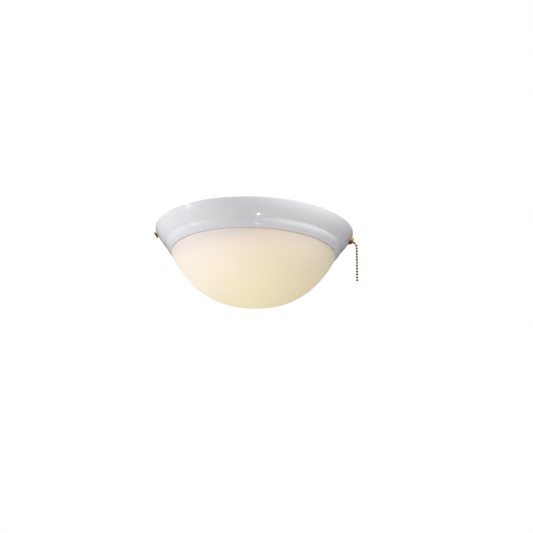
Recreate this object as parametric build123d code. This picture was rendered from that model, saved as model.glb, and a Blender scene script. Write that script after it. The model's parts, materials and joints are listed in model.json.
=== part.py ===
from build123d import *
import os
from math import asin, atan2, cos, pi, radians, sin, sqrt, tan

# Ceiling fan light kit: a stepped white pan, an opal glass bowl, a brass thumbscrew on the left and a
# brass pull chain on the right. Millimetres, +Z up. The origin is where the hollow stem leaves the top
# face of the mounting plate, which is the face that meets the fan. The front is -Y.

# Stepped pan
pan_radius = 140.0
pan_wall = 1.0
upper_tier_step = 15.4
crease_drop = 20.5
lower_tier_step = 8.8
lip_drop = 31.7
upper_tier_radius = 88.5
lower_tier_radius = 16.0
crease_fillet = 2.4
lip_roll = 1.8
lip_return = 1.6

# Mounting plate: a dished pressing inside the top of the pan
plate_gauge = 1.5
dome_rise = 17.0
dome_flat_radius = 80.0
dome_foot_inset = 16.0
dome_fillet = 6.0
skirt_drop = 11.0
skirt_fit = 0.1

# Hollow stem, its nut and washer
stem_radius = 5.14
stem_relief_radius = 4.9
stem_bore_radius = 3.9
stem_rise = 16.0
stem_tail = 12.0
stem_chamfer = 0.5
stem_hole_clearance = 0.1
stem_nut_across_flats = 15.9
stem_nut_height = 4.0
stem_washer_radius = 9.0
stem_washer_height = 1.0
washer_split = 1.6
bushing_wall = 1.0
bushing_flange = 1.6
bushing_length = 8.0
bushing_clearance = 0.05

# Glass bowl
bowl_lip_step = 0.6
bowl_lip_drop = 1.7
bowl_depth = 69.1
bowl_depth_power = 1.112
bowl_radius_power = 2.682
bowl_outline_points = 11
glass_wall = 3.6
neck_gap = 6.6
neck_height = 14.6
bead_overhang = 1.9
bead_height = 3.2
shoulder_fillet = 1.6
fillet_room_share = 0.98
glass_seat_gap = 0.5

# Ring inside the pan that carries the three spring clips
ring_gauge = 0.8
ring_neck_gap = 5.2
ring_neck_rise = 0.4
ring_flange_rise = 5.0
ring_weld_gap = 0.05
clip_count = 3
clip_first_angle = 90.0
clip_width = 14.0
clip_gauge = 0.5
clip_foot = 8.5
clip_reach = 0.35
clip_apex_drop = 5.2
clip_tail_drop = 4.0
clip_tail_lift = 2.6
rivet_radius = 1.5
rivet_head_radius = 2.6
rivet_head_height = 0.9

# Fixings through the upper tier, at the same height on both sides
fixing_drop = 4.2
screw_radius = 2.05
screw_length = 11.0
screw_head_radius = 4.6
screw_head_height = 1.9
screw_shoulder_radius = 2.9
screw_shoulder_height = 0.5
screw_tip = 0.6
knurl_count = 28
knurl_depth = 0.25
slot_width = 0.9
slot_depth = 0.7
screw_washer_radius = 3.9
screw_washer_height = 0.7
screw_clearance = 0.06
weld_nut_side = 7.0
weld_nut_height = 3.0
face_gap = 0.05

# Pull switch
switch_tube_radius = 4.0
switch_bore_radius = 2.1
switch_hole_clearance = 0.1
mouth_radius = 3.3
mouth_length = 1.4
switch_nut_radius = 5.8
switch_nut_height = 2.3
tube_stick_out = 0.9
back_nut_across_flats = 11.0
back_nut_height = 2.0
switch_body_radius = 9.5
switch_body_length = 13.0
switch_body_fillet = 1.5
switch_boss_radius = 6.4
switch_boss_length = 3.0
switch_cap_height = 2.6
switch_cap_step = 0.9
switch_cavity_radius = 3.2
switch_cavity_length = 7.0
pocket_clearance = 1.0

# Beaded chain
bead_radius = 1.6
chain_pitch = 4.32
link_radius = 0.45
chain_exit = 2.0
lead_beads = 4
bend_angle = 52.0
hang_angle = 80.5
drop_beads = 12

# Lamp holders and lamps
holder_spread = 28.0
holder_level_drop = 26.0
holder_radius = 18.0
holder_length = 38.0
holder_mouth_offset = 24.0
holder_base_radius = 14.5
holder_base_length = 8.0
holder_bore_radius = 15.0
holder_bore_depth = 27.0
holder_fillet = 1.5
shell_bore_radius = 13.5
shell_gauge = 0.5
shell_length = 22.0
shell_setback = 2.5
contact_width = 7.0
contact_gauge = 0.6
contact_rise = 2.6
contact_length = 18.0
cap_radius = 13.15
cap_length = 23.0
cap_root_depth = 0.9
cap_pitch = 3.63
cap_threads = 4
cap_button_radius = 4.6
cap_button_height = 1.2
cap_insulator_height = 3.0
cap_seat_gap = 0.3
lamp_radius = 24.0
lamp_length = 66.0
lamp_neck_radius = 12.4
lamp_glass_wall = 0.9

# Brackets, pad and small fasteners
pad_height = 3.0
pad_edge_gap = 4.0
pad_hole_radius = 13.0
bracket_gauge = 1.6
bracket_width = 18.0
bracket_foot = 24.0
bracket_bend = 3.0
bracket_tail = 12.0
bracket_screw_spacing = 12.0
bracket_screw_radius = 1.7
bracket_screw_head_radius = 3.2
bracket_screw_head_height = 1.8
hole_clearance = 0.15
holder_rivet_radius = 1.6
holder_rivet_head_radius = 3.0
holder_rivet_head_height = 1.0

overrun = 2.0

rim_level = -dome_rise
crease_radius = pan_radius - upper_tier_step
crease_level = rim_level - crease_drop
lip_radius = crease_radius - lower_tier_step
lip_level = rim_level - lip_drop
dome_foot_radius = pan_radius - dome_foot_inset
neck_radius = lip_radius - lip_roll - neck_gap
neck_foot = lip_level - glass_seat_gap
neck_top = neck_foot + neck_height
ring_inner_radius = neck_radius + ring_neck_gap
ring_level = neck_top + ring_neck_rise


def arc_centre(start, end, radius):
    """Centre of the arc that bulges outwards and down between two (radius, height) points."""
    chord_r = end[0] - start[0]
    chord_z = end[1] - start[1]
    chord = sqrt(chord_r**2 + chord_z**2)
    reach = sqrt(radius**2 - (chord / 2) ** 2)
    middle = ((start[0] + end[0]) / 2, (start[1] + end[1]) / 2)
    return (middle[0] + chord_z / chord * reach, middle[1] - chord_r / chord * reach)


def on_arc_at_height(centre, radius, height):
    """The outer point of a circle in the (radius, height) plane at one height."""
    rise = height - centre[1]
    return (centre[0] + sqrt(radius**2 - rise**2), height)


def between(centre, radius, start, end):
    """The point of the arc half way between two of its points."""
    middle = ((start[0] + end[0]) / 2 - centre[0], (start[1] + end[1]) / 2 - centre[1])
    size = sqrt(middle[0] ** 2 + middle[1] ** 2)
    return (centre[0] + middle[0] / size * radius, centre[1] + middle[1] / size * radius)


def crossing(centre_a, radius_a, centre_b, radius_b):
    """The outer one of the two crossings of two circles in the (radius, height) plane."""
    gap_r = centre_b[0] - centre_a[0]
    gap_z = centre_b[1] - centre_a[1]
    gap = sqrt(gap_r**2 + gap_z**2)
    along = (gap**2 + radius_a**2 - radius_b**2) / (2 * gap)
    aside = sqrt(radius_a**2 - along**2)
    foot = (centre_a[0] + along * gap_r / gap, centre_a[1] + along * gap_z / gap)
    first = (foot[0] + aside * gap_z / gap, foot[1] - aside * gap_r / gap)
    second = (foot[0] - aside * gap_z / gap, foot[1] + aside * gap_r / gap)
    return first if first[0] > second[0] else second


rim_point = (pan_radius, rim_level)
crease_point = (crease_radius, crease_level)
lip_point = (lip_radius, lip_level)
upper_centre = arc_centre(rim_point, crease_point, upper_tier_radius)
lower_centre = arc_centre(crease_point, lip_point, lower_tier_radius)


def section(*edges):
    """A closed outline in the (radius, height) plane, as a face of the XZ plane."""
    return make_face([Plane.XZ * edge for edge in edges]).face()


def turned(*edges):
    """A solid of revolution about Z from a closed outline in the (radius, height) plane."""
    return revolve(section(*edges), Axis.Z)


def bent_strip(centre_line, bend_radius, gauge, width):
    """A strip bent along a centre line in the XZ plane, and centred on that plane."""
    path = FilletPolyline(*centre_line, radius=bend_radius)
    return Plane.XZ * extrude(trace(path, line_width=gauge), width / 2, both=True)


def tier_height_point(inset, height):
    """A point of the upper tier at a height, moved inwards from the outer face by the inset."""
    return on_arc_at_height(upper_centre, upper_tier_radius - inset, height)


def tier_arc(inset, start, end):
    """The upper tier's arc, moved inwards by the inset, between two of its points."""
    return ThreePointArc(start, between(upper_centre, upper_tier_radius - inset, start, end), end)


fixing_point = tier_height_point(0, rim_level - fixing_drop)
fixing_tilt = asin((upper_centre[1] - fixing_point[1]) / upper_tier_radius)


def fixing_frame(side):
    """A frame on the outer face of the upper tier, with Z along the outward normal of the wall."""
    return Plane(
        origin=(side * fixing_point[0], 0, fixing_point[1]),
        x_dir=(0, 1, 0),
        z_dir=(side * cos(fixing_tilt), 0, -sin(fixing_tilt)),
    )


def along(frame, radius, start, end):
    """A round bar on a frame's Z axis, between two distances along it."""
    return frame * Pos(0, 0, start) * Cylinder(
        radius, end - start, align=(Align.CENTER, Align.CENTER, Align.MIN)
    )


screw_frame = fixing_frame(-1)
switch_frame = fixing_frame(1)
skirt_depth = pan_wall + skirt_fit + plate_gauge


def pan_shell():
    """The stepped pan: two pressed tiers and a lip that is rolled in and up."""
    inner_rim = tier_height_point(pan_wall, rim_level)
    lower_inner = lower_tier_radius - pan_wall
    inner_crease = crossing(upper_centre, upper_tier_radius - pan_wall, lower_centre, lower_inner)
    roll_inner = lip_roll - pan_wall
    inner_lip = (lip_radius, lip_level + pan_wall)
    roll_middle = lip_roll * sin(pi / 4)
    inner_middle = roll_inner * sin(pi / 4)
    roll_centre = (lip_radius, lip_level + lip_roll)
    return_top = lip_level + lip_roll + lip_return
    lower_arc = ThreePointArc(
        crease_point, between(lower_centre, lower_tier_radius, crease_point, lip_point), lip_point
    )
    inner_arc = ThreePointArc(
        inner_lip, between(lower_centre, lower_inner, inner_lip, inner_crease), inner_crease
    )
    outline = section(
        tier_arc(0, rim_point, crease_point),
        lower_arc,
        ThreePointArc(
            lip_point,
            (roll_centre[0] - roll_middle, roll_centre[1] - roll_middle),
            (lip_radius - lip_roll, roll_centre[1]),
        ),
        Line((lip_radius - lip_roll, roll_centre[1]), (lip_radius - lip_roll, return_top)),
        Line((lip_radius - lip_roll, return_top), (lip_radius - roll_inner, return_top)),
        Line((lip_radius - roll_inner, return_top), (lip_radius - roll_inner, roll_centre[1])),
        ThreePointArc(
            (lip_radius - roll_inner, roll_centre[1]),
            (roll_centre[0] - inner_middle, roll_centre[1] - inner_middle),
            inner_lip,
        ),
        inner_arc,
        tier_arc(pan_wall, inner_crease, inner_rim),
        Line(inner_rim, rim_point),
    )
    creases = outline.vertices().filter_by(
        lambda v: abs(v.Z - crease_level) < 2 * pan_wall and v.X > lip_radius + lip_roll
    )
    shell = revolve(fillet(creases, crease_fillet), Axis.Z)
    shell -= along(screw_frame, screw_radius + hole_clearance, -overrun - pan_wall, overrun)
    shell -= along(switch_frame, switch_tube_radius + switch_hole_clearance, -overrun - pan_wall, overrun)
    return shell


def plate_section(inset):
    """Outline of the plate's upper face, moved inwards and down by the inset, as a filled disc."""
    skirt_inset = pan_wall + skirt_fit + inset
    foot = tier_height_point(skirt_inset, rim_level - skirt_drop - inset * overrun)
    shoulder = tier_height_point(skirt_inset, rim_level - inset)
    outline = section(
        Line((0, -inset), (dome_flat_radius, -inset)),
        Line((dome_flat_radius, -inset), (dome_foot_radius, rim_level - inset)),
        Line((dome_foot_radius, rim_level - inset), shoulder),
        tier_arc(skirt_inset, shoulder, foot),
        Line(foot, (0, foot[1])),
        Line((0, foot[1]), (0, -inset)),
    )
    corners = outline.vertices().filter_by(
        lambda v: dome_flat_radius - overrun < v.X < dome_foot_radius + overrun
    )
    return fillet(corners, dome_fillet)


def pocket(frame, radius, depth):
    """The outside and the inside of a pocket that is pressed up round a fixing."""
    radius += pocket_clearance
    depth += pocket_clearance
    above_rim = Pos(0, 0, rim_level) * Cylinder(
        pan_radius, pan_radius, align=(Align.CENTER, Align.CENTER, Align.MIN)
    )
    outside = along(frame, radius + plate_gauge, -depth - plate_gauge, -pan_wall - skirt_fit)
    inside = along(frame, radius, -depth, -skirt_depth)
    return outside & above_rim, inside & Cylinder(pan_radius - plate_gauge, pan_radius)


def mounting_plate():
    """Dished steel plate with a skirt inside the pan, the stem hole and two pressed-up pockets."""
    plate = revolve(plate_section(0), Axis.Z)
    hollow = revolve(plate_section(plate_gauge), Axis.Z)
    switch_depth = skirt_depth + back_nut_height + switch_body_length + face_gap
    pockets = [
        pocket(switch_frame, switch_body_radius, switch_depth),
        pocket(screw_frame, weld_nut_side / sqrt(2), screw_length),
    ]
    for outside, inside in pockets:
        plate += outside
        hollow += inside
    plate -= hollow
    plate -= Cylinder(stem_radius + stem_hole_clearance, dome_rise * 2)
    plate -= along(screw_frame, screw_radius + hole_clearance, -skirt_depth - overrun, overrun)
    plate -= along(switch_frame, switch_tube_radius + switch_hole_clearance, -skirt_depth - overrun, overrun)
    for place in bracket_screw_places():
        plate -= Pos(*place, 0) * Cylinder(bracket_screw_radius, dome_rise)
    return plate


holder_back = holder_mouth_offset + holder_length
holder_level = rim_level - holder_level_drop


def stem_nipple():
    """Hollow threaded stem that carries the kit and lets the leads through."""
    stem = Cylinder(stem_radius, stem_rise, align=(Align.CENTER, Align.CENTER, Align.MIN))
    stem += Cylinder(stem_relief_radius, stem_tail, align=(Align.CENTER, Align.CENTER, Align.MAX))
    ends = stem.edges().filter_by(GeomType.CIRCLE).group_by(Axis.Z)
    stem = chamfer(ends[0] + ends[-1], stem_chamfer)
    return stem - Cylinder(stem_bore_radius, (stem_rise + stem_tail) * 2)


def stem_washer():
    """Split lock washer under the plate."""
    top = -plate_gauge
    ring = Cylinder(stem_washer_radius, stem_washer_height) - Cylinder(
        stem_relief_radius + stem_hole_clearance, stem_washer_height * 2
    )
    ring -= Pos(stem_washer_radius, 0, 0) * Box(stem_washer_radius * 2, washer_split, overrun)
    return Pos(0, 0, top - stem_washer_height / 2 - face_gap) * ring


def stem_nut():
    """Hex nut that clamps the stem to the plate."""
    nut = extrude(
        RegularPolygon(stem_nut_across_flats / 2, 6, major_radius=False), stem_nut_height
    )
    nut = chamfer(nut.edges().filter_by(Axis.Z), stem_chamfer)
    nut -= Cylinder(stem_relief_radius + face_gap, stem_nut_height * 4)
    top = -plate_gauge - stem_washer_height - 2 * face_gap
    return Pos(0, 0, top - stem_nut_height) * nut


def stem_bushing():
    """Plastic bushing that guards the leads at the lower end of the stem."""
    outer = stem_bore_radius - bushing_clearance
    flange = stem_relief_radius
    foot = -stem_tail - face_gap
    sleeve = Cylinder(outer, bushing_length, align=(Align.CENTER, Align.CENTER, Align.MIN))
    sleeve = Pos(0, 0, foot) * sleeve
    sleeve += Pos(0, 0, foot) * Cylinder(
        flange, bushing_flange, align=(Align.CENTER, Align.CENTER, Align.MAX)
    )
    return sleeve - Cylinder(outer - bushing_wall, (stem_tail + bushing_flange) * 3)


def bowl_curve(radius, top, bottom):
    """Points of the bowl's rounded outline from its widest level down to its pole."""
    points = []
    for step in range(bowl_outline_points):
        share = sin(pi / 2 * step / (bowl_outline_points - 1))
        width = max(1 - share**bowl_depth_power, 0) ** (1 / bowl_radius_power)
        points.append((radius * width, top + (bottom - top) * share))
    return points


def glass_bowl():
    """Opal glass bowl with a rounded shoulder under the lip and a beaded neck inside the pan."""
    seat = neck_foot
    top = lip_level - bowl_lip_drop
    bottom = top - bowl_depth
    bowl_radius = lip_radius - bowl_lip_step
    outer = bowl_curve(bowl_radius, top, bottom)
    inner = bowl_curve(bowl_radius - glass_wall, top, bottom + glass_wall)
    inner_neck = neck_radius - glass_wall
    start = outer[1]
    inner_start = inner[1]
    outer_slope = (start[0] - outer[0][0], start[1] - outer[0][1])
    inner_slope = (inner[0][0] - inner_start[0], inner[0][1] - inner_start[1])
    body = section(
        Line((neck_radius, neck_top), (neck_radius, seat)),
        Line((neck_radius, seat), (outer[0][0] - shoulder_fillet, seat)),
        Line((outer[0][0] - shoulder_fillet, seat), outer[0]),
        Line(outer[0], start),
        Spline(*outer[1:], tangents=[outer_slope, (-1, 0)]),
        Line(outer[-1], inner[-1]),
        Spline(*reversed(inner[1:]), tangents=[(1, 0), inner_slope]),
        Line(inner_start, (inner_neck, seat - glass_wall)),
        Line((inner_neck, seat - glass_wall), (inner_neck, neck_top)),
        Line((inner_neck, neck_top), (neck_radius, neck_top)),
    )
    soft = body.vertices().filter_by(lambda v: v.X > inner_neck - overrun and v.Z > start[1] - overrun)
    shoulder = [v for v in soft if v.Z < neck_top - bead_height and abs(v.X - inner_start[0]) > face_gap]
    turn_in = atan2(seat - outer[0][1], shoulder_fillet)
    turn_down = pi / 2 - turn_in + atan2(-outer_slope[0], -outer_slope[1])
    edge = sqrt(shoulder_fillet**2 + (seat - outer[0][1]) ** 2)
    room = edge / (tan(turn_in / 2) + tan(turn_down / 2)) * fillet_room_share
    corners = [v for v in shoulder if abs(v.X - start[0]) > face_gap]
    body = fillet(corners, min(shoulder_fillet, room))
    bead_level = neck_top - bead_height
    bead = section(
        Line((inner_neck + glass_wall / 2, neck_top), (neck_radius, neck_top)),
        ThreePointArc(
            (neck_radius, neck_top),
            (neck_radius + bead_overhang, (neck_top + bead_level) / 2),
            (neck_radius, bead_level),
        ),
        Line((neck_radius, bead_level), (inner_neck + glass_wall / 2, bead_level)),
        Line((inner_neck + glass_wall / 2, bead_level), (inner_neck + glass_wall / 2, neck_top)),
    )
    return revolve(body, Axis.Z) + revolve(bead, Axis.Z)


def clip_ring():
    """Welded ring inside the pan, with a flat shelf for the spring clips."""
    inset = pan_wall + ring_weld_gap
    outer_low = tier_height_point(inset, ring_level)
    outer_high = tier_height_point(inset, ring_level + ring_flange_rise)
    inner_high = tier_height_point(inset + ring_gauge, ring_level + ring_flange_rise)
    inner_low = tier_height_point(inset + ring_gauge, ring_level + ring_gauge)
    return turned(
        Line((ring_inner_radius, ring_level), outer_low),
        tier_arc(inset, outer_low, outer_high),
        Line(outer_high, inner_high),
        tier_arc(inset + ring_gauge, inner_high, inner_low),
        Line(inner_low, (ring_inner_radius, ring_level + ring_gauge)),
        Line((ring_inner_radius, ring_level + ring_gauge), (ring_inner_radius, ring_level)),
    ) - clip_rivet_holes()


def clip_angles():
    """Directions of the three spring clips about the axis."""
    return [clip_first_angle + 360 / clip_count * step for step in range(clip_count)]


rivet_place = ring_inner_radius + clip_foot / 2 + rivet_head_radius / 2


def clip_rivet_holes():
    """Holes in the ring for the rivets of the clips."""
    bar = Pos(rivet_place, 0, ring_level) * Cylinder(rivet_radius + hole_clearance, ring_gauge * 6)
    holes = [Rot(0, 0, angle) * bar for angle in clip_angles()]
    return holes[0] + holes[1] + holes[2]


def glass_clip(angle):
    """A bent leaf spring that presses on the glass neck just under its bead."""
    top = ring_level - face_gap
    apex = (neck_radius + clip_reach, top - clip_apex_drop)
    outer_end = rivet_place + rivet_head_radius
    knee = ring_inner_radius + clip_gauge
    tail = (apex[0] + clip_tail_lift, apex[1] - clip_tail_drop)
    centre_line = [
        (outer_end, top - clip_gauge / 2),
        (knee, top - clip_gauge / 2),
        (apex[0] + clip_gauge / 2, apex[1]),
        tail,
    ]
    leaf = bent_strip(centre_line, clip_gauge * 2, clip_gauge, clip_width)
    leaf -= Pos(rivet_place, 0, top) * Cylinder(rivet_radius + hole_clearance, clip_gauge * 8)
    return Rot(0, 0, angle) * leaf


def clip_rivets():
    """Rivets through the ring and the clips, one to a clip."""
    top = ring_level + ring_gauge
    bottom = ring_level - face_gap - clip_gauge
    shank = Cylinder(rivet_radius, top - bottom, align=(Align.CENTER, Align.CENTER, Align.MIN))
    head = Cylinder(
        rivet_head_radius, rivet_head_height, align=(Align.CENTER, Align.CENTER, Align.MIN)
    )
    head = fillet(head.edges().group_by(Axis.Z)[-1], rivet_head_height / 2)
    rivet = Pos(0, 0, bottom) * shank + Pos(0, 0, top + face_gap) * head
    rivet += Pos(0, 0, bottom - face_gap) * mirror(head, Plane.XY)
    rivet += Pos(0, 0, bottom - face_gap) * Cylinder(
        rivet_radius, top - bottom + 2 * face_gap, align=(Align.CENTER, Align.CENTER, Align.MIN)
    )
    return Compound(children=[Rot(0, 0, angle) * Pos(rivet_place, 0, 0) * rivet for angle in clip_angles()])


def knurled_disc(radius, height, bore):
    """A disc on Z from zero upwards, with a straight knurl round its edge."""
    disc = Cylinder(radius, height, align=(Align.CENTER, Align.CENTER, Align.MIN))
    disc = chamfer(disc.edges().filter_by(GeomType.CIRCLE), knurl_depth)
    cutter = Pos(radius, 0, height / 2) * Rot(0, 0, 45) * Box(
        knurl_depth * sqrt(2), knurl_depth * sqrt(2), height * 2
    )
    for step in range(knurl_count):
        disc -= Rot(0, 0, 360 / knurl_count * step) * cutter
    if bore > 0:
        disc -= Cylinder(bore, height * 4)
    return disc


screw_seat = screw_washer_height + face_gap


def thumb_screw():
    """Brass thumbscrew with a knurled, slotted head on a short shoulder."""
    head_base = screw_seat + face_gap + screw_shoulder_height
    head = Pos(0, 0, head_base) * knurled_disc(screw_head_radius, screw_head_height, 0)
    shank_length = screw_length + head_base
    screw = head + Pos(0, 0, screw_seat + face_gap) * Cylinder(
        screw_shoulder_radius, screw_shoulder_height, align=(Align.CENTER, Align.CENTER, Align.MIN)
    )
    shank = Pos(0, 0, head_base - shank_length) * Cylinder(
        screw_radius, shank_length, align=(Align.CENTER, Align.CENTER, Align.MIN)
    )
    shank = chamfer(shank.edges().filter_by(GeomType.CIRCLE).group_by(Axis.Z)[0], screw_tip)
    slot = Pos(0, 0, head_base + screw_head_height) * Box(
        screw_head_radius * 3, slot_width, slot_depth * 2
    )
    return screw_frame * (screw + shank - slot)


def thumb_screw_washer():
    """Nylon washer that stays on the thumbscrew and keeps it from marking the pan."""
    ring = Cylinder(
        screw_washer_radius, screw_washer_height, align=(Align.CENTER, Align.CENTER, Align.MIN)
    )
    ring -= Cylinder(screw_radius + screw_clearance, screw_washer_height * 4)
    return screw_frame * Pos(0, 0, face_gap) * ring


def weld_nut():
    """Square nut welded inside the plate's skirt, which the thumbscrew turns in."""
    nut = Box(
        weld_nut_side, weld_nut_side, weld_nut_height, align=(Align.CENTER, Align.CENTER, Align.MAX)
    )
    nut = chamfer(nut.edges().filter_by(Axis.Z), stem_chamfer)
    nut -= Cylinder(screw_radius + screw_clearance, weld_nut_height * 4)
    return screw_frame * Pos(0, 0, -skirt_depth - face_gap) * nut


switch_front = -skirt_depth - back_nut_height - 2 * face_gap
mouth_end = switch_nut_height + face_gap + tube_stick_out + mouth_length


def switch_body():
    """Moulded body of the pull switch, on the inner end of its threaded tube."""
    drum = switch_body_length - switch_boss_length
    body = Pos(0, 0, -switch_boss_length) * Cylinder(
        switch_body_radius, drum, align=(Align.CENTER, Align.CENTER, Align.MAX)
    )
    body = fillet(body.edges().filter_by(GeomType.CIRCLE), switch_body_fillet)
    body += Cylinder(
        switch_boss_radius, switch_body_length / 2, align=(Align.CENTER, Align.CENTER, Align.MAX)
    )
    groove = Pos(0, 0, -switch_body_length + switch_cap_height) * (
        Cylinder(switch_body_radius * 2, switch_cap_step)
        - Cylinder(switch_body_radius - switch_cap_step / 2, switch_cap_step * 2)
    )
    cavity = Cylinder(
        switch_cavity_radius, switch_cavity_length * 2
    )
    return switch_frame * Pos(0, 0, switch_front) * (body - groove - cavity)


def switch_tube():
    """Threaded brass tube of the switch, with the flared mouth that the chain leaves by."""
    length = mouth_end - mouth_length - switch_front - face_gap
    tube = Pos(0, 0, switch_front + face_gap) * Cylinder(
        switch_tube_radius, length, align=(Align.CENTER, Align.CENTER, Align.MIN)
    )
    mouth = Pos(0, 0, mouth_end - mouth_length) * Cylinder(
        mouth_radius, mouth_length, align=(Align.CENTER, Align.CENTER, Align.MIN)
    )
    tube = tube + mouth
    tube -= Pos(0, 0, switch_front) * Cylinder(
        switch_bore_radius, length * 4
    )
    inner_edge = tube.edges().filter_by(GeomType.CIRCLE).group_by(Axis.Z)[-1]
    tube = fillet(inner_edge, mouth_length / 3)
    return switch_frame * tube


def switch_nut():
    """Knurled brass nut outside the pan, which clamps the switch and the pan to the plate."""
    nut = knurled_disc(switch_nut_radius, switch_nut_height, switch_tube_radius + face_gap)
    return switch_frame * Pos(0, 0, face_gap) * nut


def switch_back_nut():
    """Hex nut on the switch tube inside the plate's skirt."""
    nut = extrude(
        RegularPolygon(back_nut_across_flats / 2, 6, major_radius=False), back_nut_height
    )
    nut -= Cylinder(switch_tube_radius + face_gap, back_nut_height * 4)
    return switch_frame * Pos(0, 0, -skirt_depth - face_gap - back_nut_height) * nut


exit_bead = mouth_end + chain_exit


def chain_places():
    """Bead centres of the chain's three lengths: in the tube, at the bend and hanging."""
    lead = []
    for step in range(lead_beads):
        along_tube = exit_bead - chain_pitch * step
        place = switch_frame.from_local_coords((0, 0, along_tube))
        lead.append(Vector(place))
    bend = radians(bend_angle)
    knuckle = lead[0] + Vector(chain_pitch * cos(bend), 0, -chain_pitch * sin(bend))
    hang = radians(hang_angle)
    first = knuckle + Vector(chain_pitch * cos(hang), 0, -chain_pitch * sin(hang))
    drop = [first - Vector(0, 0, chain_pitch * step) for step in range(drop_beads)]
    return lead, knuckle, drop


def link(start, end):
    """The thin wire link between two beads, from the middle of the gap outwards."""
    axis = end - start
    frame = Plane(origin=start, z_dir=axis)
    return along(frame, link_radius, 0, axis.length)


def bead_run(places):
    """Beads joined by wire links."""
    run = Pos(*places[0]) * Sphere(bead_radius)
    for start, end in zip(places, places[1:]):
        run += link(start, end)
        run += Pos(*end) * Sphere(bead_radius)
    return run


def half_link(start, end):
    """A wire link from one bead's centre to just short of the next bead."""
    axis = end - start
    reach = start + axis.normalized() * (axis.length - bead_radius - face_gap)
    return link(start, reach)


def chain_lead():
    """The beads in the switch tube and the first bead outside it, with the switch's pull rod."""
    lead, knuckle, drop = chain_places()
    rod_end = lead[-1] + (lead[-1] - lead[-2]).normalized() * chain_pitch
    return bead_run(lead) + link(lead[-1], rod_end)


def chain_knuckle():
    """The bead at the bend, with a link to the bead before it."""
    lead, knuckle, drop = chain_places()
    return Pos(*knuckle) * Sphere(bead_radius) + half_link(knuckle, lead[0])


def chain_drop():
    """The hanging length of chain, which ends in a bare bead."""
    lead, knuckle, drop = chain_places()
    return bead_run(drop) + half_link(drop[0], knuckle)


def holder_frame(side):
    """A frame at the mouth of a lamp holder, with Z along the way the lamp comes out."""
    return Plane(
        origin=(-side * holder_mouth_offset, side * holder_spread, holder_level),
        x_dir=(0, side, 0),
        z_dir=(side, 0, 0),
    )


def holder_body(side):
    """Moulded lamp holder with a narrower base at its back."""
    frame = holder_frame(side)
    front_length = holder_length - holder_base_length
    body = Cylinder(holder_radius, front_length, align=(Align.CENTER, Align.CENTER, Align.MAX))
    body = fillet(body.edges().filter_by(GeomType.CIRCLE), holder_fillet)
    body += Cylinder(holder_base_radius, holder_length, align=(Align.CENTER, Align.CENTER, Align.MAX))
    bore = Cylinder(
        holder_bore_radius, holder_bore_depth * 2
    )
    rivet_hole = Pos(0, 0, -holder_length) * Cylinder(
        holder_rivet_radius + hole_clearance, (holder_length - holder_bore_depth) * 2 + overrun
    )
    return frame * (body - bore - rivet_hole)


def screw_shell(side):
    """Thin rolled screw shell of a lamp holder, closed at the back round the contact."""
    frame = holder_frame(side)
    outer = shell_bore_radius + shell_gauge
    shell = Pos(0, 0, -shell_setback) * Cylinder(
        outer, shell_length, align=(Align.CENTER, Align.CENTER, Align.MAX)
    )
    shell -= Pos(0, 0, -shell_setback + shell_gauge) * Cylinder(
        shell_bore_radius, shell_length - shell_gauge, align=(Align.CENTER, Align.CENTER, Align.MAX)
    )
    back = -shell_setback - shell_length
    shell -= Pos(0, 0, back) * Cylinder(contact_length / 2 + shell_gauge, shell_gauge * 4)
    lug = Pos(0, 0, back) * (
        Cylinder(holder_bore_radius - face_gap, shell_gauge, align=(Align.CENTER, Align.CENTER, Align.MIN))
        - Cylinder(shell_bore_radius, shell_gauge * 4)
    )
    return frame * (shell + lug)


def centre_contact(side):
    """Springy brass tongue at the bottom of a lamp holder."""
    frame = holder_frame(side)
    bottom = -holder_bore_depth
    base = Pos(0, 0, bottom + face_gap) * Box(
        contact_length, contact_width, contact_gauge, align=(Align.CENTER, Align.CENTER, Align.MIN)
    )
    tongue = Pos(0, 0, bottom + face_gap + contact_gauge) * Box(
        contact_width, contact_width, contact_rise, align=(Align.CENTER, Align.CENTER, Align.MIN)
    )
    tongue = fillet(tongue.edges().filter_by(Axis.Y).group_by(Axis.Z)[-1], contact_width / 3)
    return frame * (base + tongue)


cap_back = -holder_bore_depth + contact_gauge + contact_rise + face_gap + cap_seat_gap


def lamp_cap(side):
    """Screw cap of a lamp, with rolled threads, its black insulator and the end button."""
    frame = holder_frame(side)
    thread_base = cap_back + cap_button_height + cap_insulator_height
    top = cap_back + cap_length + cap_button_height
    root = cap_radius - cap_root_depth
    edges = [Line((0, cap_back), (cap_button_radius, cap_back))]
    edges.append(Line((cap_button_radius, cap_back), (cap_button_radius, cap_back + cap_button_height)))
    edges.append(Line((cap_button_radius, cap_back + cap_button_height), (root, thread_base)))
    level = thread_base
    for turn in range(cap_threads):
        edges.append(
            ThreePointArc((root, level), (cap_radius, level + cap_pitch / 2), (root, level + cap_pitch))
        )
        level += cap_pitch
    edges.append(Line((root, level), (root, top)))
    edges.append(Line((root, top), (0, top)))
    edges.append(Line((0, top), (0, cap_back)))
    return frame * revolve(section(*edges), Axis.Z)


def lamp_glass(side):
    """Thin round-topped lamp envelope, open where it seats on its cap."""
    frame = holder_frame(side)
    foot = cap_back + cap_length + cap_button_height + face_gap
    end = foot + lamp_length
    centre = end - lamp_radius
    shells = []
    for inset in (0, lamp_glass_wall):
        radius = lamp_radius - inset
        neck = lamp_neck_radius - inset
        waist = (foot + centre) / 2
        shells.append(
            revolve(
                section(
                    Line((0, foot + inset), (neck, foot + inset)),
                    Spline(
                        (neck, foot + inset),
                        ((neck + radius) / 2, waist),
                        (radius, centre),
                        tangents=[(0, 1), (0, 1)],
                    ),
                    ThreePointArc(
                        (radius, centre),
                        (radius * sin(pi / 4), centre + radius * sin(pi / 4)),
                        (0, centre + radius),
                    ),
                    Line((0, centre + radius), (0, foot + inset)),
                ),
                Axis.Z,
            )
        )
    return frame * (shells[0] - shells[1])


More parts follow.
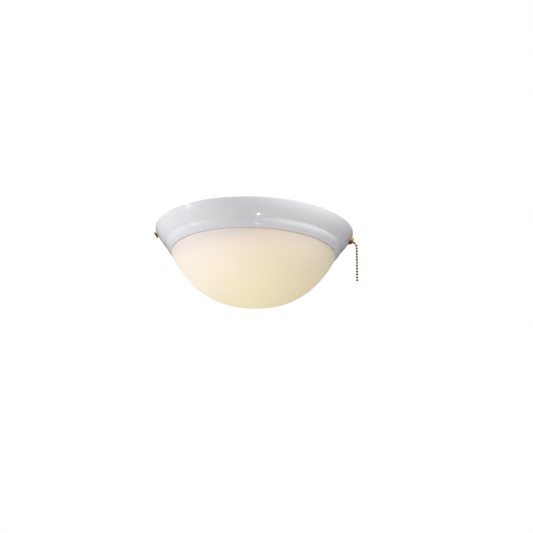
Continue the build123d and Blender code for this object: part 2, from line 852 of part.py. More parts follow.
def holder_bracket(side):
    """Bent steel bracket from the plate down to the back of a lamp holder."""
    back = side * -(holder_back + face_gap)
    top = -plate_gauge - pad_height - 2 * face_gap
    tail = holder_level - bracket_tail
    centre_line = [
        (-side * (holder_back - bracket_foot), top - bracket_gauge / 2),
        (back - side * bracket_gauge / 2, top - bracket_gauge / 2),
        (back - side * bracket_gauge / 2, tail),
    ]
    leg = bent_strip(centre_line, bracket_bend, bracket_gauge, bracket_width)
    leg = Pos(0, side * holder_spread, 0) * leg
    for place in holder_screw_places(side):
        leg -= Pos(*place, top) * Cylinder(bracket_screw_radius + hole_clearance, bracket_gauge * 4)
    hole = Pos(back, side * holder_spread, holder_level) * Rot(0, 90, 0) * Cylinder(
        holder_rivet_radius + hole_clearance, bracket_gauge * 4
    )
    return leg - hole


def holder_screw_places(side):
    """Centres of the two screws in one bracket's foot."""
    foot_middle = -side * (holder_back - bracket_foot / 2 - bracket_bend)
    offsets = (-bracket_screw_spacing / 2, bracket_screw_spacing / 2)
    return [(foot_middle + offset, side * holder_spread) for offset in offsets]


def bracket_screw_places():
    """Centres of all the screws that hold the brackets to the plate."""
    return holder_screw_places(-1) + holder_screw_places(1)


def bracket_screws():
    """Round-headed screws, up through the brackets and the pad into the plate."""
    under = -plate_gauge - pad_height - 2 * face_gap - bracket_gauge - face_gap
    head = Cylinder(
        bracket_screw_head_radius, bracket_screw_head_height, align=(Align.CENTER, Align.CENTER, Align.MAX)
    )
    head = fillet(head.edges().group_by(Axis.Z)[0], bracket_screw_head_height / 2)
    slot = Pos(0, 0, -bracket_screw_head_height) * Box(
        bracket_screw_head_radius * 3, slot_width, slot_depth * 2
    )
    shank = Cylinder(
        bracket_screw_radius - face_gap, -under - face_gap, align=(Align.CENTER, Align.CENTER, Align.MIN)
    )
    screw = head - slot + shank
    return Compound(children=[Pos(*place, under) * screw for place in bracket_screw_places()])


def holder_rivets():
    """Tubular rivets that hold the two lamp holders to their brackets."""
    rivets = []
    for side in (-1, 1):
        frame = holder_frame(side)
        outside = -holder_length - bracket_gauge - 2 * face_gap
        floor = -holder_bore_depth
        shank = along(frame, holder_rivet_radius, outside - face_gap, floor - face_gap)
        head = along(
            frame, holder_rivet_head_radius, outside - face_gap - holder_rivet_head_height, outside - face_gap
        )
        rivets.append(shank + head)
    return Compound(children=rivets)


def heat_pad():
    """Fibre pad that keeps the heat of the lamps off the plate."""
    pad = Pos(0, 0, -plate_gauge - face_gap) * Cylinder(
        dome_flat_radius - pad_edge_gap, pad_height, align=(Align.CENTER, Align.CENTER, Align.MAX)
    )
    pad -= Cylinder(pad_hole_radius, dome_rise * 2)
    for place in bracket_screw_places():
        pad -= Pos(*place, 0) * Cylinder(bracket_screw_radius + hole_clearance, dome_rise)
    return pad


def write(shape, name):
    """One STEP file for each separate piece."""
    export_step(shape, f"parts/{name}.step")


def main():
    os.makedirs("parts", exist_ok=True)
    write(mounting_plate(), "mounting_plate")
    write(stem_nipple(), "stem_nipple")
    write(stem_washer(), "stem_washer")
    write(stem_nut(), "stem_nut")
    write(stem_bushing(), "stem_bushing")
    write(heat_pad(), "heat_pad")
    write(pan_shell(), "pan_shell")
    write(clip_ring(), "clip_ring")
    for number, angle in enumerate(clip_angles(), 1):
        write(glass_clip(angle), f"glass_clip_{number}")
    write(clip_rivets(), "clip_rivets")
    write(glass_bowl(), "glass_bowl")
    write(thumb_screw(), "thumb_screw")
    write(thumb_screw_washer(), "thumb_screw_washer")
    write(weld_nut(), "weld_nut")
    write(switch_body(), "switch_body")
    write(switch_tube(), "switch_tube")
    write(switch_nut(), "switch_nut")
    write(switch_back_nut(), "switch_back_nut")
    write(chain_lead(), "chain_lead")
    write(chain_knuckle(), "chain_knuckle")
    write(chain_drop(), "chain_drop")
    for number, side in enumerate((-1, 1), 1):
        write(holder_body(side), f"holder_body_{number}")
        write(screw_shell(side), f"screw_shell_{number}")
        write(centre_contact(side), f"centre_contact_{number}")
        write(holder_bracket(side), f"holder_bracket_{number}")
        write(lamp_cap(side), f"lamp_cap_{number}")
        write(lamp_glass(side), f"lamp_glass_{number}")
    write(bracket_screws(), "bracket_screws")
    write(holder_rivets(), "holder_rivets")


main()
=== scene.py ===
import json
import math

import bmesh
import bpy
import numpy as np
from mathutils import Matrix, Vector

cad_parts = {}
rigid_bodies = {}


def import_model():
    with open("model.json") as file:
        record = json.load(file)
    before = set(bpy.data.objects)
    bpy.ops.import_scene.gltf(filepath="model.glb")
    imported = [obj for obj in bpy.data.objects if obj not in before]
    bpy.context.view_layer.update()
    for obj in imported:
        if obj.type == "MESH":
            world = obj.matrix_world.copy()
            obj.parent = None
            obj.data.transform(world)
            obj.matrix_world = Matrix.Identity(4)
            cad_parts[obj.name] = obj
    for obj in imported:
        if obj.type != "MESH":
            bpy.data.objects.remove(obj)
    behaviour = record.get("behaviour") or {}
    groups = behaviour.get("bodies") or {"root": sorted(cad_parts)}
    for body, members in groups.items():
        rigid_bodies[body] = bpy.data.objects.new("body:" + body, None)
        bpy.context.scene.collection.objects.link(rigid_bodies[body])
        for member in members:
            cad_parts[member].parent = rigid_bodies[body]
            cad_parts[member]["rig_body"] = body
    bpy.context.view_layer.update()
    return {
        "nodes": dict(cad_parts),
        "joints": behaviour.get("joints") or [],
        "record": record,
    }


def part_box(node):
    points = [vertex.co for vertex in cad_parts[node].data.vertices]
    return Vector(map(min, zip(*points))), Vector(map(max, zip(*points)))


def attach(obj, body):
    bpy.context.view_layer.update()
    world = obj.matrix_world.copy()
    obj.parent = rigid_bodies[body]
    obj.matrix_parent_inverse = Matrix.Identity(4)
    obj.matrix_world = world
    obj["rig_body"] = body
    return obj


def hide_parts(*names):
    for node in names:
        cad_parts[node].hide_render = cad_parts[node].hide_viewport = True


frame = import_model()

# Metres. Outside sizes that the frame doesn't give by itself.
MM = 0.001
PAN_WALL = 1.0 * MM
CREASE_RADIUS = 124.6 * MM
CREASE_DROP = 20.5 * MM
UPPER_TIER_RADIUS = 88.5 * MM
LOWER_TIER_RADIUS = 24.0 * MM
LIP_RADIUS = 115.8 * MM
LIP_ROLL = 1.8 * MM
LIP_RETURN = 1.6 * MM
CREASE_BLEND = 0.6 * MM
DRILL_REACH = 3 * PAN_WALL

BOWL_RADIUS = 115.2 * MM
BOWL_TOP_DROP = 33.4 * MM
BOWL_DEPTH_POWER = 1.112
BOWL_RADIUS_POWER = 2.682
GLASS_WALL = 3.6 * MM
NECK_RADIUS = 107.4 * MM
BEAD_OVERHANG = 1.9 * MM
BEAD_HEIGHT = 3.2 * MM
GLASS_SEAT_GAP = 0.3 * MM
SHOULDER_ROUNDING = 1.2 * MM
NECK_ROUNDING = 1.5 * MM
NECK_STEP = 1.0 * MM

BEAD_RADIUS = 1.6 * MM
CHAIN_PITCH = 4.32 * MM
LINK_RADIUS = 0.6 * MM
# A link is thinner at its middle by the waist, and its ends lie at the seat's share of a bead's radius.
LINK_WAIST = 0.16
LINK_SEAT = 0.9
# A bead's end holes and slit: their half widths in radians, their depths, and the radius of a hole's floor.
HOLE_TURN = 0.16
HOLE_DEPTH = 0.1 * MM
HOLE_FLOOR = 0.9 * LINK_RADIUS
SLIT_TURN = 0.16
SLIT_DEPTH = 0.06 * BEAD_RADIUS
LEAD_BEADS = 4
DROP_BEADS = 12

KNURLS = 28
KNURL_DEPTH = 0.25 * MM

# Lengths of the small turned pieces run along their own axes, from the outer face of the pan or the mouth of
# the lamp holder.
SCREW_TIP = -11.0 * MM
SCREW_RADIUS = 2.05 * MM
SCREW_CHAMFER = 0.6 * MM
SCREW_PITCH = 0.794 * MM
SCREW_THREAD = 0.4 * MM
SCREW_SHOULDER = (2.9 * MM, 0.8 * MM)
SCREW_HEAD = (4.6 * MM, 1.3 * MM, 3.2 * MM)
SCREW_HOLE = 2.2 * MM
SLOT_HALF_WIDTH = 0.45 * MM
SLOT_FLOOR = 2.5 * MM

TUBE_RADIUS = 4.0 * MM
TUBE_BORE = 2.1 * MM
TUBE_HOLE = 4.1 * MM
TUBE_ENDS = (-4.65 * MM, 3.25 * MM, 4.65 * MM)
TUBE_PITCH = 0.8 * MM
TUBE_THREAD = 0.3 * MM
MOUTH_RADIUS = 3.3 * MM
MOUTH_EDGE = 0.4 * MM
MOUTH_FLARE = 0.8 * MM
NUT_RADIUS = 5.8 * MM
NUT_GAP = 0.05 * MM
NUT_CHAMFER = 0.3 * MM
NUT_ENDS = (0.05 * MM, 2.35 * MM)

STEM_RADIUS = 5.14 * MM
STEM_RELIEF = 4.9 * MM
STEM_BORE = 3.9 * MM
STEM_CHAMFER = 0.5 * MM
STEM_PITCH = 0.94 * MM
STEM_THREAD = 0.42 * MM

HOLDER_REACH = 24.0 * MM
HOLDER_SPREAD = 28.0 * MM
HOLDER_LEVEL = -43.0 * MM
CAP_BACK = -23.45 * MM
CAP_BUTTON = (4.6 * MM, 1.2 * MM)
CAP_THREAD = (-19.25 * MM, -4.73 * MM)
CAP_ROOT = 12.25 * MM
CAP_CREST = 13.15 * MM
CAP_TOP = 0.75 * MM
CAP_PITCH = 3.63 * MM
# Chamfer of the cap's back edge: along its radius and along its axis.
CAP_EDGE = (0.6 * MM, 0.5 * MM)
# The cap's plain skirt: where it starts to flare under the cap's top, the flare's growth in radius with its
# depth under the top, and the distance between rows of points.
CAP_SKIRT = 1.6 * MM
CAP_FLARE = ((0.35 * MM, 1.0 * MM), (0.45 * MM, 0.0))
CAP_SKIRT_STEP = 0.6 * MM
# The black cone behind the cap: how far its wide end lies in from the cap's root and back from its edge, how
# far its narrow end lies out from the button and before its seat, and how deep the button sits in it.
CONE_WIDE = (1.4 * MM, 0.7 * MM)
CONE_NARROW = (0.5 * MM, 0.3 * MM)
CONE_SINK = 0.2 * MM
# The share of the button's rise that its dome takes up.
BUTTON_DOME = 0.8
SHELL_ENDS = (-24.5 * MM, -2.5 * MM)
SHELL_BORE = 13.5 * MM
SHELL_GAUGE = 0.5 * MM
SHELL_LUG = 14.95 * MM
SHELL_OPENING = 9.5 * MM
SHELL_WAVE = 0.35 * MM
SHELL_PLAIN = (1.0 * MM, 0.8 * MM)
LAMP_ENDS = (0.8 * MM, 66.8 * MM)
LAMP_RADIUS = 24.0 * MM
LAMP_NECK = 12.4 * MM
LAMP_WALL = 0.9 * MM

# Rows of points in one pitch of a cut thread and of a rolled one, and points in a rounded corner.
THREAD_ROWS = 8
ROLLED_ROWS = 14
CORNER_STEPS = 6

# The difference under which two numbers are taken as equal, and the distance under which points are merged.
HAIR = 1e-6
MERGE_REACH = 1e-7
# An axis whose angle to Y has a sine under this takes its frame's X from the object's own.
NEAR_Y = 0.1

# Angle in degrees over which an edge stays sharp.
SHARP_ON_TURNED = 28.0
SHARP_ON_CAD = 32.0
SHARP_ON_CHAIN = 35.0
SHARP_ON_SHEET = 40.0
SHARP_ON_GLASS = 50.0

# Painted glow, with painted shade under the lip: share of its height from the bottom to the lip, and linear
# colour.
GLASS_PAINTED_GLOW = (
    (0.0, (0.62, 0.53, 0.29)),
    (0.2, (0.63, 0.53, 0.32)),
    (0.4, (0.64, 0.53, 0.345)),
    (0.6, (0.63, 0.52, 0.355)),
    (0.8, (0.58, 0.475, 0.355)),
    (1.0, (0.37, 0.29, 0.25)),
)
# Painted light and shade across the glow: share of the width from left to right, and a factor per colour.
GLASS_PAINTED_SIDE_LIGHT = (
    (0.0, (0.66, 0.72, 0.88)),
    (0.3, (0.80, 0.86, 0.98)),
    (0.5, (0.80, 0.80, 0.80)),
    (0.65, (0.69, 0.68, 0.60)),
    (0.8, (0.61, 0.60, 0.56)),
    (1.0, (0.54, 0.56, 0.50)),
)
GLASS_PAINTED_GLOW_STRENGTH = 1.25

# Finishes: depth of their relief, and for the mottle how much finer the fine noise is than the broad one,
# the stretch of the broad noise that shows, and the value round which noise swings.
BUMP_REACH = 0.2 * MM
FINE_TO_BROAD = 11.0
MOTTLE_RANGE = (0.35, 0.7)
NOISE_MIDDLE = 0.5

# Lights: turn from the front to the right and rise above level in degrees, distance from the aim and side of
# the square in metres, power in watts, and screen colour.
LIGHT_AIM = (0.0, 0.0, -0.06)
LIGHTS = {
    "left_softbox": (-82, 8, 1.3, 0.45, 16.6, (250, 252, 255)),
    "front_softbox": (30, 8, 1.3, 0.45, 5.2, (250, 252, 255)),
    "right_softbox": (35, 50, 1.3, 0.45, 51.0, (248, 253, 255)),
    "left_card": (-79.5, -20, 1.58, 0.2, 0.32, (252, 253, 255)),
    "front_spark": (6.2, -58.5, 1.24, 0.05, 0.26, (255, 255, 255)),
}
WORLD_STRENGTH = 0.2

# The floor's depth under the object, its half width and where it starts to fade into the white round it.
FLOOR_DROP = 1.4
FLOOR_HALF = 3.0
FLOOR_FADE = 0.6

# The photograph's camera: its frame is 533 pixels wide and high.
PHOTO_SIDE = 533.0
FOCAL_PIXELS = 740.0
LOOK_UP = math.radians(19.929)
ROLL = math.radians(1.81)
RIM_CENTRE_PIXEL = (254.30, 234.79)
CAMERA_DISTANCE = 7.559


def srgb(red, green, blue):
    """A colour written in screen values from 0 to 255, as linear values."""
    screen = np.array([red, green, blue]) / 255.0
    linear = np.where(screen <= 0.04045, screen / 12.92, ((screen + 0.055) / 1.055) ** 2.4)
    return (*linear.tolist(), 1.0)


def axis_frame(origin, axis):
    """A 4 by 4 array that carries Z onto an axis and the zero point onto an origin."""
    z = np.array(axis, float) / np.linalg.norm(axis)
    x = np.array((0.0, 1.0, 0.0))
    x = x - z * (x @ z)
    if np.linalg.norm(x) < NEAR_Y:
        x = np.array((1.0, 0.0, 0.0))
    x /= np.linalg.norm(x)
    place = np.eye(4)
    place[:3, 0] = x
    place[:3, 1] = np.cross(z, x)
    place[:3, 2] = z
    place[:3, 3] = origin
    return place


def arc(centre, radius, start, end, steps):
    """Points (radius, height) on a circle from one angle to another, both in radians."""
    angle = np.linspace(start, end, steps)
    return np.stack([centre[0] + radius * np.cos(angle), centre[1] + radius * np.sin(angle)], 1)


def rounded(points, radius):
    """A bent line with each inner corner replaced by an arc that is tangent to both its sides."""
    out = [np.array(points[0])[None]]
    for before, corner, after in zip(points, points[1:], points[2:]):
        before, corner, after = np.array(before), np.array(corner), np.array(after)
        one = (before - corner) / np.linalg.norm(before - corner)
        two = (after - corner) / np.linalg.norm(after - corner)
        half = math.acos(max(-1.0, min(1.0, float(one @ two)))) / 2
        reach = radius / math.tan(half)
        middle = (one + two) / np.linalg.norm(one + two)
        centre = corner + middle * radius / math.sin(half)
        share = np.linspace(0, 1, CORNER_STEPS)[:, None]
        start = corner + one * reach - centre
        end = corner + two * reach - centre
        swing = math.pi - 2 * half
        mix = (np.sin((1 - share) * swing) * start + np.sin(share * swing) * end) / math.sin(swing)
        out.append(centre + mix)
    out.append(np.array(points[-1])[None])
    return np.concatenate(out)


def beside(path, distance):
    """The line at a distance to the left of a smooth path in the (radius, height) plane."""
    way = np.gradient(path, axis=0)
    way /= np.linalg.norm(way, axis=1)[:, None]
    return path + np.stack([-way[:, 1], way[:, 0]], 1) * distance


def grid_faces(rows, columns, close_rows):
    """Corner numbers of the quads of a grid whose columns run round in a ring."""
    row = np.arange(rows if close_rows else rows - 1)[:, None]
    column = np.arange(columns)[None, :]
    next_row = (row + 1) % rows
    next_column = (column + 1) % columns
    corners = [row * columns + column, row * columns + next_column]
    corners += [next_row * columns + next_column, next_row * columns + column]
    return np.stack(corners, -1).reshape(-1, 4)


def sheet_faces(rows, columns):
    """Corner numbers of the quads of a plain grid."""
    row = np.arange(rows - 1)[:, None]
    column = np.arange(columns - 1)[None, :]
    corners = [row * columns + column, row * columns + column + 1]
    corners += [(row + 1) * columns + column + 1, (row + 1) * columns + column]
    return np.stack(corners, -1).reshape(-1, 4)


def add_piece(name, surface, body, finish, replaces, sharp):
    """A finished piece with the given points and faces, which rides on a body in place of a frame's node."""
    piece = bpy.data.objects.new(name, new_mesh(name, surface, sharp))
    bpy.context.scene.collection.objects.link(piece)
    piece.data.materials.append(finishes[finish])
    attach(piece, body)
    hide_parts(replaces)
    return piece


def new_mesh(name, surface, sharp):
    """A mesh from an array of points and one of faces."""
    points, faces = surface
    mesh = bpy.data.meshes.new(name)
    mesh.from_pydata(points.tolist(), [], faces.tolist())
    mesh.validate()
    finish_mesh(mesh, sharp)
    return mesh


def finish_mesh(mesh, sharp):
    """Merges doubled points, turns the faces outwards and shades all but sharp edges smooth."""
    work = bmesh.new()
    work.from_mesh(mesh)
    bmesh.ops.remove_doubles(work, verts=work.verts, dist=MERGE_REACH)
    bmesh.ops.dissolve_degenerate(work, edges=work.edges, dist=MERGE_REACH)
    bmesh.ops.recalc_face_normals(work, faces=work.faces)
    work.to_mesh(mesh)
    work.free()
    mesh.shade_smooth()
    mesh.set_sharp_from_angle(angle=math.radians(sharp))


def turned(profile, columns, place=None, ripple=None, turn=None, floor=None):
    """Surface of revolution: the point at (v, u) is the profile's point v turned by u about Z.

    ripple gives, for the profile and the turns, a length that is added to the radius. turn gives turns
    that aren't evenly spaced, and floor the greatest height at each of them.
    """
    profile = np.asarray(profile, float)
    if turn is None:
        turn = np.linspace(0, 2 * math.pi, columns, endpoint=False)
    radius = profile[:, 0][:, None] * np.ones(columns)
    if ripple is not None:
        radius = radius + ripple(profile, turn)
    height = profile[:, 1][:, None] * np.ones(columns)
    if floor is not None:
        height = np.minimum(height, floor)
    points = np.stack([radius * np.cos(turn), radius * np.sin(turn), height], -1).reshape(-1, 3)
    return points if place is None else carried(points, place)


def lathed(profile, columns, closed, place=None, ripple=None):
    """Points and faces of a profile turned about an axis. Where closed, its last row meets its first."""
    return turned(profile, columns, place, ripple), grid_faces(len(profile), columns, closed)


def carried(points, place):
    """Points moved from an axis frame into the object's frame."""
    return points @ place[:3, :3].T + place[:3, 3]


def dense(points, step):
    """The same bent line with more points, none further from the next than the step."""
    out = []
    for start, end in zip(points, points[1:]):
        start, end = np.array(start, float), np.array(end, float)
        count = max(1, math.ceil(float(np.linalg.norm(end - start)) / step - HAIR))
        out.append(start + (end - start) * (np.arange(count) / count)[:, None])
    out.append(np.array(points[-1], float)[None])
    return np.concatenate(out)


def vee(phase):
    """A wave of straight flanks: 0 at whole numbers and 1 half way between them."""
    return 1 - np.abs(2 * (phase % 1.0) - 1)


def swell(phase):
    """A round wave: 0 at whole numbers and 1 half way between them."""
    return 0.5 - 0.5 * np.cos(2 * math.pi * phase)


def thread(pitch, depth, ends, inside=0.0, form=vee):
    """Ripple of a screw thread: a wave of height along the axis that climbs one pitch in a turn.

    Its depth fades over half a pitch at both ends, and radii under inside stay plain.
    """
    def ripple(line, turn):
        height = line[:, 1][:, None]
        wave = form(height / pitch - turn / (2 * math.pi)) - 1
        fade = np.clip(np.minimum(height - ends[0], ends[1] - height) / (pitch / 2), 0, 1)
        return depth * wave * fade * (line[:, 0] > inside)[:, None]

    return ripple


def knurl(limit):
    """Ripple of a straight knurl: V grooves round the edge, wherever the radius is over a limit."""
    def ripple(line, turn):
        groove = vee(KNURLS * turn / (2 * math.pi)) - 1
        return KNURL_DEPTH * groove * (line[:, 0] > limit)[:, None]

    return ripple


def joined(parts):
    """One array of points and one of faces from several pairs of them."""
    points, faces, count = [], [], 0
    for part_points, part_faces in parts:
        points.append(part_points)
        faces.append(part_faces + count)
        count += len(part_points)
    return np.concatenate(points), np.concatenate(faces)


# Node groups that several finishes share
def new_group(name, steer, steer_kind):
    """An empty group for a finish, with one socket of the given name and kind that steers its pattern."""
    group = bpy.data.node_groups.new(name, "ShaderNodeTree")
    colour, number = "NodeSocketColor", "NodeSocketFloat"
    taken = [("Colour", colour), ("Shade", colour), (steer, steer_kind)]
    taken += [("Amount", number), ("Roughness", number), ("Spread", number)]
    for label, kind in taken:
        group.interface.new_socket(label, in_out="INPUT", socket_type=kind)
    for label, kind in [("Colour", colour), ("Roughness", number), ("Height", number)]:
        group.interface.new_socket(label, in_out="OUTPUT", socket_type=kind)
    return group


def node(tree, kind, links=(), **values):
    """A node with its plain settings, its socket values and its incoming links."""
    made = tree.nodes.new(kind)
    for label, value in values.items():
        setattr(made, label, value)
    for target, source in links:
        socket = made.inputs[target]
        if isinstance(source, bpy.types.NodeSocket):
            tree.links.new(source, socket)
        else:
            socket.default_value = source
    return made


def calculate(tree, operation, first, second):
    """The output of a node that works out one number from two."""
    return node(tree, "ShaderNodeMath", [(0, first), (1, second)], operation=operation).outputs[0]


def colour_mix(tree, share, first, second, blend="MIX"):
    """The output of a node that mixes two colours. Its sockets 6 and 7 are the two colours."""
    links = [(0, share), (6, first), (7, second)]
    return node(tree, "ShaderNodeMix", links, data_type="RGBA", blend_type=blend).outputs[2]


def end_group(group, given, share, swing, height):
    """The outputs of a finish group: colours mixed by a share, roughness moved by a swing, and the height."""
    mixed = colour_mix(group, share, given.outputs["Colour"], given.outputs["Shade"])
    rough = calculate(group, "ADD", given.outputs["Roughness"], swing)
    node(group, "NodeGroupOutput", [("Colour", mixed), ("Roughness", rough), ("Height", height)])


def mottle_group():
    """Slow and fine variation of a colour, its roughness and its height."""
    group = new_group("mottle", "Scale", "NodeSocketFloat")
    given = node(group, "NodeGroupInput")
    where = node(group, "ShaderNodeTexCoord")
    broad = node(
        group, "ShaderNodeTexNoise",
        [("Vector", where.outputs["Object"]), ("Scale", given.outputs["Scale"]), ("Detail", 4.0)],
    )
    finer = calculate(group, "MULTIPLY", given.outputs["Scale"], FINE_TO_BROAD)
    fine = node(
        group, "ShaderNodeTexNoise", [("Vector", where.outputs["Object"]), ("Scale", finer), ("Detail", 6.0)]
    )
    steep = node(
        group, "ShaderNodeMapRange",
        [("Value", broad.outputs["Fac"]), ("From Min", MOTTLE_RANGE[0]), ("From Max", MOTTLE_RANGE[1])],
    )
    share = calculate(group, "MULTIPLY", steep.outputs[0], given.outputs["Amount"])
    shift = calculate(group, "ADD", fine.outputs["Fac"], -NOISE_MIDDLE)
    swing = calculate(group, "MULTIPLY", shift, given.outputs["Spread"])
    end_group(group, given, share, swing, fine.outputs["Fac"])
    return group


def streak_group():
    """Fine lines along one direction, as on brushed or drawn metal."""
    group = new_group("drawn_lines", "Across", "NodeSocketVector")
    given = node(group, "NodeGroupInput")
    where = node(group, "ShaderNodeTexCoord")
    stretched = node(
        group, "ShaderNodeVectorMath",
        [(0, where.outputs["Object"]), (1, given.outputs["Across"])], operation="MULTIPLY",
    )
    lines = node(
        group, "ShaderNodeTexNoise", [("Vector", stretched.outputs[0]), ("Scale", 1.0), ("Detail", 3.0)]
    )
    share = calculate(group, "MULTIPLY", lines.outputs["Fac"], given.outputs["Amount"])
    swing = calculate(group, "MULTIPLY", lines.outputs["Fac"], given.outputs["Spread"])
    end_group(group, given, share, swing, lines.outputs["Fac"])
    return group


def finish_material(name, group, settings, bump=0.0, **shader_values):
    """A Principled material whose colour, roughness and height come from a shared group."""
    material = bpy.data.materials.new(name)
    material.use_nodes = True
    tree = material.node_tree
    shader = tree.nodes["Principled BSDF"]
    source = tree.nodes.new("ShaderNodeGroup")
    source.node_tree = group
    for label, value in settings.items():
        source.inputs[label].default_value = value
    tree.links.new(source.outputs["Colour"], shader.inputs["Base Color"])
    tree.links.new(source.outputs["Roughness"], shader.inputs["Roughness"])
    if bump:
        relief = node(
            tree, "ShaderNodeBump",
            [("Strength", bump), ("Distance", BUMP_REACH), ("Height", source.outputs["Height"])],
        )
        tree.links.new(relief.outputs[0], shader.inputs["Normal"])
    for label, value in shader_values.items():
        shader.inputs[label.replace("_", " ")].default_value = value
    return material


mottle = mottle_group()
drawn_lines = streak_group()


def white_enamel():
    """Gloss white stove enamel with the faintest orange peel."""
    return finish_material(
        "white_enamel", mottle,
        {
            "Colour": srgb(228, 226, 227), "Shade": srgb(221, 219, 220), "Scale": 22.0, "Amount": 0.35,
            "Roughness": 0.17, "Spread": 0.04,
        },
        bump=0.015, Coat_Weight=0.8, Coat_Roughness=0.03,
    )


def plated_steel():
    """Zinc-plated sheet steel."""
    return finish_material(
        "zinc_steel", drawn_lines,
        {
            "Colour": srgb(148, 149, 152), "Shade": srgb(108, 109, 114), "Across": (260.0, 18.0, 260.0),
            "Amount": 0.55, "Roughness": 0.48, "Spread": 0.2,
        },
        bump=0.08, Metallic=1.0,
    )


def spring_steel():
    """Blued spring steel."""
    return finish_material(
        "spring_steel", drawn_lines,
        {
            "Colour": srgb(96, 98, 108), "Shade": srgb(58, 60, 70), "Across": (300.0, 300.0, 30.0),
            "Amount": 0.6, "Roughness": 0.28, "Spread": 0.12,
        },
        bump=0.05, Metallic=1.0,
    )


def antique_brass(name, colour, shade, roughness):
    """Lacquered brass, mottled at random between two colours."""
    return finish_material(
        name, mottle,
        {
            "Colour": colour, "Shade": shade, "Scale": 420.0, "Amount": 0.65,
            "Roughness": roughness, "Spread": 0.16,
        },
        bump=0.12, Metallic=1.0,
    )


def black_moulding():
    """Moulded black phenolic with a fine matt skin."""
    return finish_material(
        "black_moulding", mottle,
        {
            "Colour": srgb(34, 33, 34), "Shade": srgb(52, 50, 49), "Scale": 160.0, "Amount": 0.5,
            "Roughness": 0.42, "Spread": 0.2,
        },
        bump=0.15,
    )


def nylon():
    """Natural nylon."""
    return finish_material(
        "nylon", mottle,
        {
            "Colour": srgb(232, 229, 219), "Shade": srgb(214, 209, 196), "Scale": 90.0, "Amount": 0.5,
            "Roughness": 0.36, "Spread": 0.12,
        },
        bump=0.05, Subsurface_Weight=0.2, Subsurface_Scale=0.002,
    )


def foil_pad():
    """Glass-fibre pad with a dull foil face."""
    return finish_material(
        "fibre", mottle,
        {
            "Colour": srgb(206, 207, 206), "Shade": srgb(158, 160, 162), "Scale": 120.0, "Amount": 0.7,
            "Roughness": 0.42, "Spread": 0.3,
        },
        bump=0.5, Metallic=0.55,
    )


def aluminium():
    """Rolled aluminium."""
    return finish_material(
        "aluminium", drawn_lines,
        {
            "Colour": srgb(214, 214, 216), "Shade": srgb(172, 172, 176), "Across": (60.0, 700.0, 700.0),
            "Amount": 0.5, "Roughness": 0.26, "Spread": 0.14,
        },
        bump=0.06, Metallic=1.0,
    )


def opal_glass():
    """Satin opal glass with a painted glow, warm at the bottom, with painted shade under the lip."""
    material = finish_material(
        "opal_glass", mottle,
        {
            "Colour": srgb(162, 155, 148), "Shade": srgb(157, 149, 140), "Scale": 9.0, "Amount": 0.5,
            "Roughness": 0.58, "Spread": 0.05,
        },
        bump=0.01,
    )
    tree = material.node_tree
    shader = tree.nodes["Principled BSDF"]
    where = node(tree, "ShaderNodeTexCoord")
    parts = node(tree, "ShaderNodeSeparateXYZ", [("Vector", where.outputs["Object"])])
    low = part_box("glass_bowl")[0].z
    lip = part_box("pan_shell")[0].z
    height = node(
        tree, "ShaderNodeMapRange", [("Value", parts.outputs["Z"]), ("From Min", low), ("From Max", lip)]
    )
    across = node(
        tree, "ShaderNodeMapRange",
        [("Value", parts.outputs["X"]), ("From Min", -BOWL_RADIUS), ("From Max", BOWL_RADIUS)],
    )
    # Painted glow by height, weakest under the lip where it stands in for the lip's shade.
    glow = smooth_ramp(tree, GLASS_PAINTED_GLOW, height.outputs[0])
    # Painted light and shade: the glow is lighter and cooler on the left, where the light falls, and darker
    # to the right.
    sides = smooth_ramp(tree, GLASS_PAINTED_SIDE_LIGHT, across.outputs[0])
    # Emission that stands in for light through the glass: painted glow, not a lamp.
    through = colour_mix(tree, 1.0, glow, sides, "MULTIPLY")
    tree.links.new(through, shader.inputs["Emission Color"])
    shader.inputs["Emission Strength"].default_value = GLASS_PAINTED_GLOW_STRENGTH
    return material


def smooth_ramp(tree, stops, share):
    """The colour output of a ramp that passes smoothly through the given stops."""
    made = tree.nodes.new("ShaderNodeValToRGB")
    made.color_ramp.interpolation = "B_SPLINE"
    points = made.color_ramp.elements
    points[0].color = (*stops[0][1], 1.0)
    points[1].color = (*stops[-1][1], 1.0)
    for place, colour in stops[1:-1]:
        points.new(place).color = (*colour, 1.0)
    tree.links.new(share, made.inputs[0])
    return made.outputs[0]


def frosted_lamp():
    """Inside-frosted lamp glass with a faint warm glow."""
    material = finish_material(
        "lamp_glass", mottle,
        {
            "Colour": srgb(244, 240, 230), "Shade": srgb(236, 230, 216), "Scale": 60.0, "Amount": 0.4,
            "Roughness": 0.2, "Spread": 0.05,
        },
        Coat_Weight=0.4, Coat_Roughness=0.08,
    )
    shader = material.node_tree.nodes["Principled BSDF"]
    shader.inputs["Emission Color"].default_value = srgb(255, 226, 176)
    shader.inputs["Emission Strength"].default_value = 0.35
    return material


finishes = {
    "white_enamel": white_enamel(),
    "zinc_steel": plated_steel(),
    "spring_steel": spring_steel(),
    "opal_glass": opal_glass(),
    "brass": antique_brass("brass", srgb(122, 96, 58), srgb(66, 50, 26), 0.46),
    # A lighter copy of the same brass for the thumbscrew: painted light.
    "brass_painted_lighter": antique_brass("brass_painted_lighter", srgb(172, 138, 84), srgb(104, 80, 44), 0.36),
    "chain_brass": antique_brass("chain_brass", srgb(122, 96, 38), srgb(58, 44, 14), 0.24),
    "black_moulding": black_moulding(),
    "nylon": nylon(),
    "fibre": foil_pad(),
    "lamp_glass": frosted_lamp(),
    "aluminium": aluminium(),
}

joint = {entry["name"]: entry for entry in frame["joints"]}
node_slot = {entry["node"]: entry["material_slot"] for entry in frame["record"]["subparts"]}


def dress_frame_nodes():
    """Every node of the frame gets its own finish."""
    for name, obj in frame["nodes"].items():
        obj.data.materials.clear()
        obj.data.materials.append(finishes[node_slot[name]])


